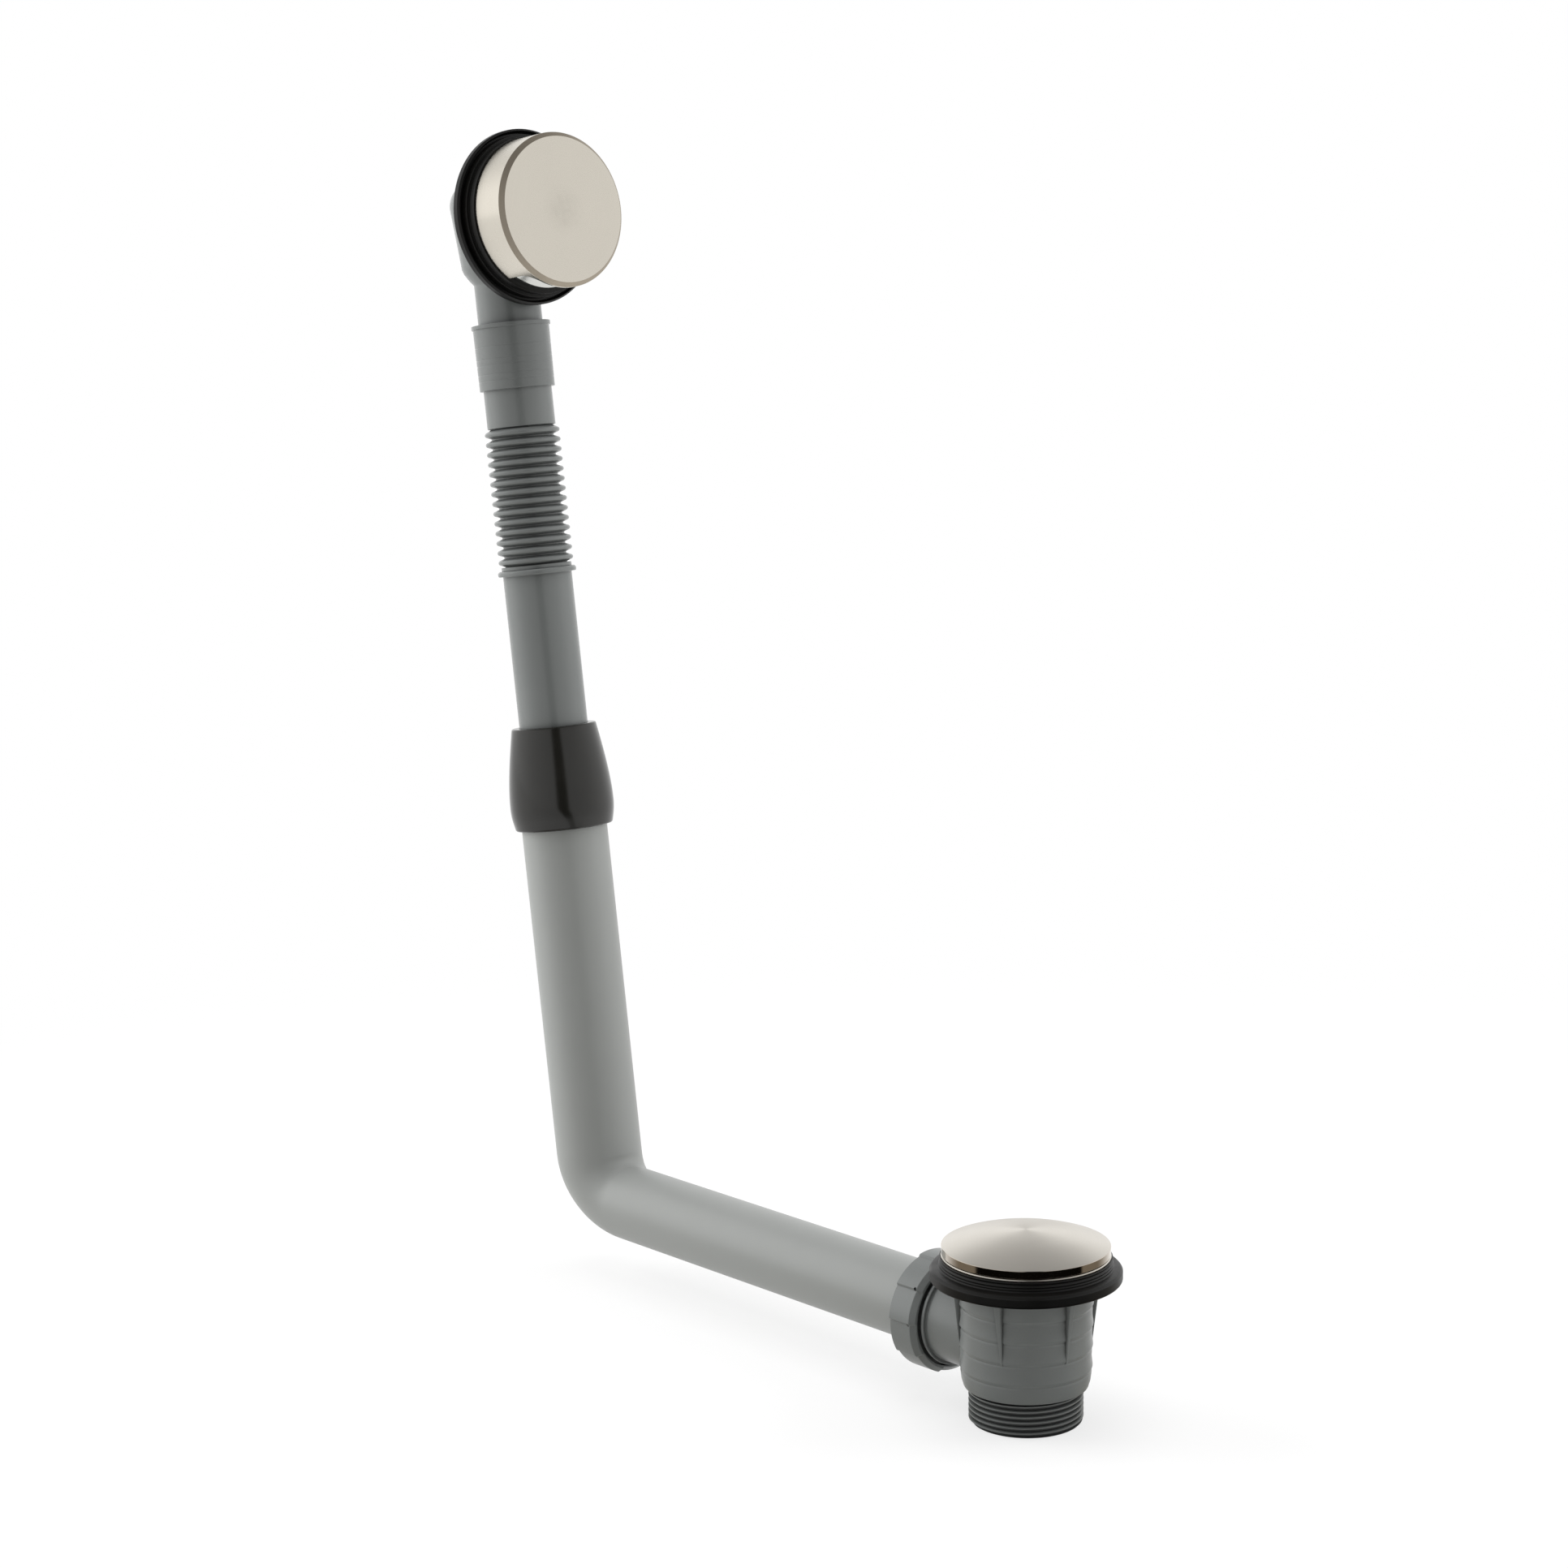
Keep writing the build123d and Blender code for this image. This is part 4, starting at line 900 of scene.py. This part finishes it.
# Camera, fitted to the photograph's outlines
cameraView = {
    "place": (925.9, -955.05, 440.17), "yaw": 138.3014, "pitch": 10.3146, "roll": -0.7537, "lens": 77.0725,
    "sensor": 36, "nearest": 0.05,
}
lens = bpy.data.cameras.new("photoCamera")
lens.lens = cameraView["lens"]
lens.sensor_width = cameraView["sensor"]
lens.clip_start = cameraView["nearest"]
camera = bpy.data.objects.new("photoCamera", lens)
bpy.context.scene.collection.objects.link(camera)
camera.matrix_world = (
    Matrix.Translation(Vector(cameraView["place"]) * mm)
    @ Matrix.Rotation(radians(cameraView["yaw"] - 90), 4, "Z")
    @ Matrix.Rotation(radians(90 - cameraView["pitch"]), 4, "X")
    @ Matrix.Rotation(radians(cameraView["roll"]), 4, "Z")
)
bpy.context.scene.camera = camera
bpy.context.scene.view_settings.view_transform = "Standard"
print("camera placed")

# Studio: soft boxes to the left, right and above, and white walls that dim towards the ceiling, with a
# dark gap where the camera stands
studio = {
    "fill": 0.56, "frontFill": 0.57, "fillFrom": 0.2, "sideWall": 1.08, "leftWall": 1.14, "rightWall": 0.94,
    "frontWall": 0.7, "wallTop": 0.3, "ceilingFrom": 0.85, "ceiling": 0.36,
    "gapTurn": 6.0, "gapHalf": 7.0, "gapSoft": 9.0, "gapLight": 0.05,
    "reach": 1.1, "sideLift": 0.25, "sideSize": (0.8, 1.3), "leftAngle": 105, "leftPower": 12.0,
    "rightAngle": 95, "rightPower": 7.7, "topHeight": 1.2, "topSize": (1.0, 1.0), "topPower": 7.0,
}
objectCentre = (cadBox[0] + cadBox[1]) / 2
toCamera = camera.location - objectCentre
cameraAngle = atan2(toCamera.y, toCamera.x)
gapAngle = cameraAngle + radians(studio["gapTurn"])
gapEnds = {
    1: cos(radians(studio["gapHalf"] + studio["gapSoft"])), 2: cos(radians(studio["gapHalf"])),
    3: 1.0, 4: studio["gapLight"],
}


def softBox(name, offset, power, size):
    lamp = bpy.data.lights.new(name, "AREA")
    lamp.shape = "RECTANGLE"
    lamp.size, lamp.size_y = size
    lamp.energy = power
    box = bpy.data.objects.new(name, lamp)
    bpy.context.scene.collection.objects.link(box)
    box.location = objectCentre + offset
    box.rotation_euler = (objectCentre - box.location).to_track_quat("-Z", "Y").to_euler()
    box.visible_glossy = False
    box.visible_camera = False


for side, turn in (("left", -studio["leftAngle"]), ("right", studio["rightAngle"])):
    angle = cameraAngle + radians(turn)
    offset = Vector((cos(angle), sin(angle), studio["sideLift"])) * studio["reach"]
    softBox(side + "Box", offset, studio[side + "Power"], studio["sideSize"])
softBox("topBox", Vector((0, 0, studio["topHeight"])), studio["topPower"], studio["topSize"])
print("soft boxes set")

world = bpy.data.worlds.new("studio")
bpy.context.scene.world = world
world.use_nodes = True
tree = world.node_tree
path = addNode(tree, "LightPath", {}).outputs
direction = addNode(tree, "TexCoord", {}).outputs["Generated"]
flat = addNode(tree, "VectorMath", {0: direction, 1: (1, 1, 0)}, operation="MULTIPLY")
level = addNode(tree, "VectorMath", {0: flat}, operation="NORMALIZE")
facing = addNode(
    tree, "VectorMath", {0: level, 1: (cos(gapAngle), sin(gapAngle), 0)}, operation="DOT_PRODUCT"
).outputs["Value"]
sideways = addNode(
    tree, "VectorMath", {0: level, 1: (-sin(cameraAngle), cos(cameraAngle), 0)}, operation="DOT_PRODUCT"
).outputs["Value"]
upward = addNode(tree, "SeparateXYZ", {0: direction}).outputs["Z"]
gap = addNode(tree, "MapRange", {0: facing, **gapEnds}, interpolation_type="SMOOTHSTEP")
walls = addNode(
    tree, "MapRange",
    {0: upward, 1: studio["wallTop"], 2: studio["ceilingFrom"], 3: 1.0, 4: studio["ceiling"]},
    interpolation_type="SMOOTHSTEP",
)
around = addNode(tree, "MapRange", {0: facing, 1: 0.0, 2: 1.0, 3: studio["sideWall"], 4: studio["frontWall"]})
sides = addNode(
    tree, "MapRange", {0: sideways, 1: -1.0, 2: 1.0, 3: studio["leftWall"], 4: studio["rightWall"]}
)
fill = addNode(
    tree, "MapRange",
    {0: facing, 1: studio["fillFrom"], 2: 1.0, 3: studio["fill"], 4: studio["fill"] * studio["frontFill"]},
    interpolation_type="SMOOTHSTEP",
)
mirrored = walls
for share in (sides, around, gap, path["Is Glossy Ray"]):
    mirrored = addNode(tree, "Math", {0: mirrored, 1: share}, operation="MULTIPLY")
diffuse = addNode(tree, "Math", {0: path["Is Diffuse Ray"], 1: fill}, operation="MULTIPLY")
strength = path["Is Camera Ray"]
for share in (mirrored, path["Is Transmission Ray"], diffuse):
    strength = addNode(tree, "Math", {0: strength, 1: share}, operation="ADD")
feed(tree.nodes["Background"], {"Color": (1, 1, 1, 1), "Strength": strength})
print("walls lit")

# Floor: pale, white to the camera apart from the shadow; mirrors close to it find a brown table, nearly
# black towards the camera, and the dark gap again further out
floorSize = {
    "width": 14.0, "bounce": "#dededb", "table": "#82796c", "dark": "#0c0a08", "shade": 0.3,
    "shadeBand": (0.3, 0.9), "tableBand": (-0.9, -0.15), "darkBand": (0.27, 0.36), "edgeBand": (0.4, 0.55),
    "reachBand": (0.38, 0.46),
}
floor = addPiece(
    bpy.ops.mesh.primitive_plane_add, "floor", size=floorSize["width"], location=(0, 0, cadBox[0].z)
)
paleFloor = bpy.data.materials.new("paleFloor")
paleFloor.use_nodes = True
tree = paleFloor.node_tree
tree.nodes.remove(tree.nodes["Principled BSDF"])
path = addNode(tree, "LightPath", {}).outputs
place = addNode(tree, "TexCoord", {}).outputs["Object"]
away = addNode(tree, "VectorMath", {0: place}, operation="LENGTH").outputs["Value"]
outward = addNode(tree, "VectorMath", {0: place}, operation="NORMALIZE")
ahead = addNode(
    tree, "VectorMath", {0: outward, 1: (cos(cameraAngle), sin(cameraAngle), 0)}, operation="DOT_PRODUCT"
).outputs["Value"]
gapAhead = addNode(
    tree, "VectorMath", {0: outward, 1: (cos(gapAngle), sin(gapAngle), 0)}, operation="DOT_PRODUCT"
).outputs["Value"]
bands = {}
for band, measure, first, last in (
    ("shade", away, floorSize["shade"], 0.0), ("table", ahead, 0.0, 1.0), ("dark", ahead, 0.0, 1.0),
    ("edge", away, 1.0, 0.0), ("reach", path["Ray Length"], 1.0, 0.0),
):
    start, end = floorSize[band + "Band"]
    bands[band] = addNode(
        tree, "MapRange", {0: measure, 1: start, 2: end, 3: first, 4: last}, interpolation_type="SMOOTHSTEP"
    )
glossyTable = path["Is Glossy Ray"]
for band in ("table", "edge", "reach"):
    glossyTable = addNode(tree, "Math", {0: glossyTable, 1: bands[band]}, operation="MULTIPLY")
tableTone = addNode(
    tree, "Mix", {0: bands["dark"], 6: linear(floorSize["table"]), 7: linear(floorSize["dark"])},
    data_type="RGBA",
)
plainly = path["Is Camera Ray"]
for ray in ("Is Glossy Ray", "Is Transmission Ray"):
    plainly = addNode(tree, "Math", {0: plainly, 1: path[ray]}, operation="ADD", use_clamp=True)
gapStrip = addNode(tree, "MapRange", {0: gapAhead, **gapEnds}, interpolation_type="SMOOTHSTEP")
frontFloor = addNode(tree, "MapRange", {0: gapAhead, 1: 0.0, 2: 1.0, 3: 1.0, 4: studio["frontWall"]})
darkFloor = addNode(tree, "Math", {0: gapStrip, 1: frontFloor}, operation="MULTIPLY")
white = addNode(tree, "MapRange", {0: path["Is Glossy Ray"], 3: 1.0, 4: darkFloor})
bounce = addNode(tree, "BsdfDiffuse", {"Color": linear(floorSize["bounce"])})
shadowed = addNode(tree, "BsdfDiffuse", {"Color": linear("#ffffff")})
glow = addNode(tree, "Emission", {"Color": linear("#ffffff"), "Strength": white})
dim = addNode(tree, "Emission", {"Color": tableTone.outputs[2], "Strength": 1.0})
pale = addNode(tree, "MixShader", {0: bands["shade"], 1: glow, 2: shadowed})
mirroredFloor = addNode(tree, "MixShader", {0: glossyTable, 1: pale, 2: dim})
choice = addNode(tree, "MixShader", {0: plainly, 1: bounce, 2: mirroredFloor})
feed(tree.nodes["Material Output"], {"Surface": choice})
floor.data.materials.append(paleFloor)
print("studio set")
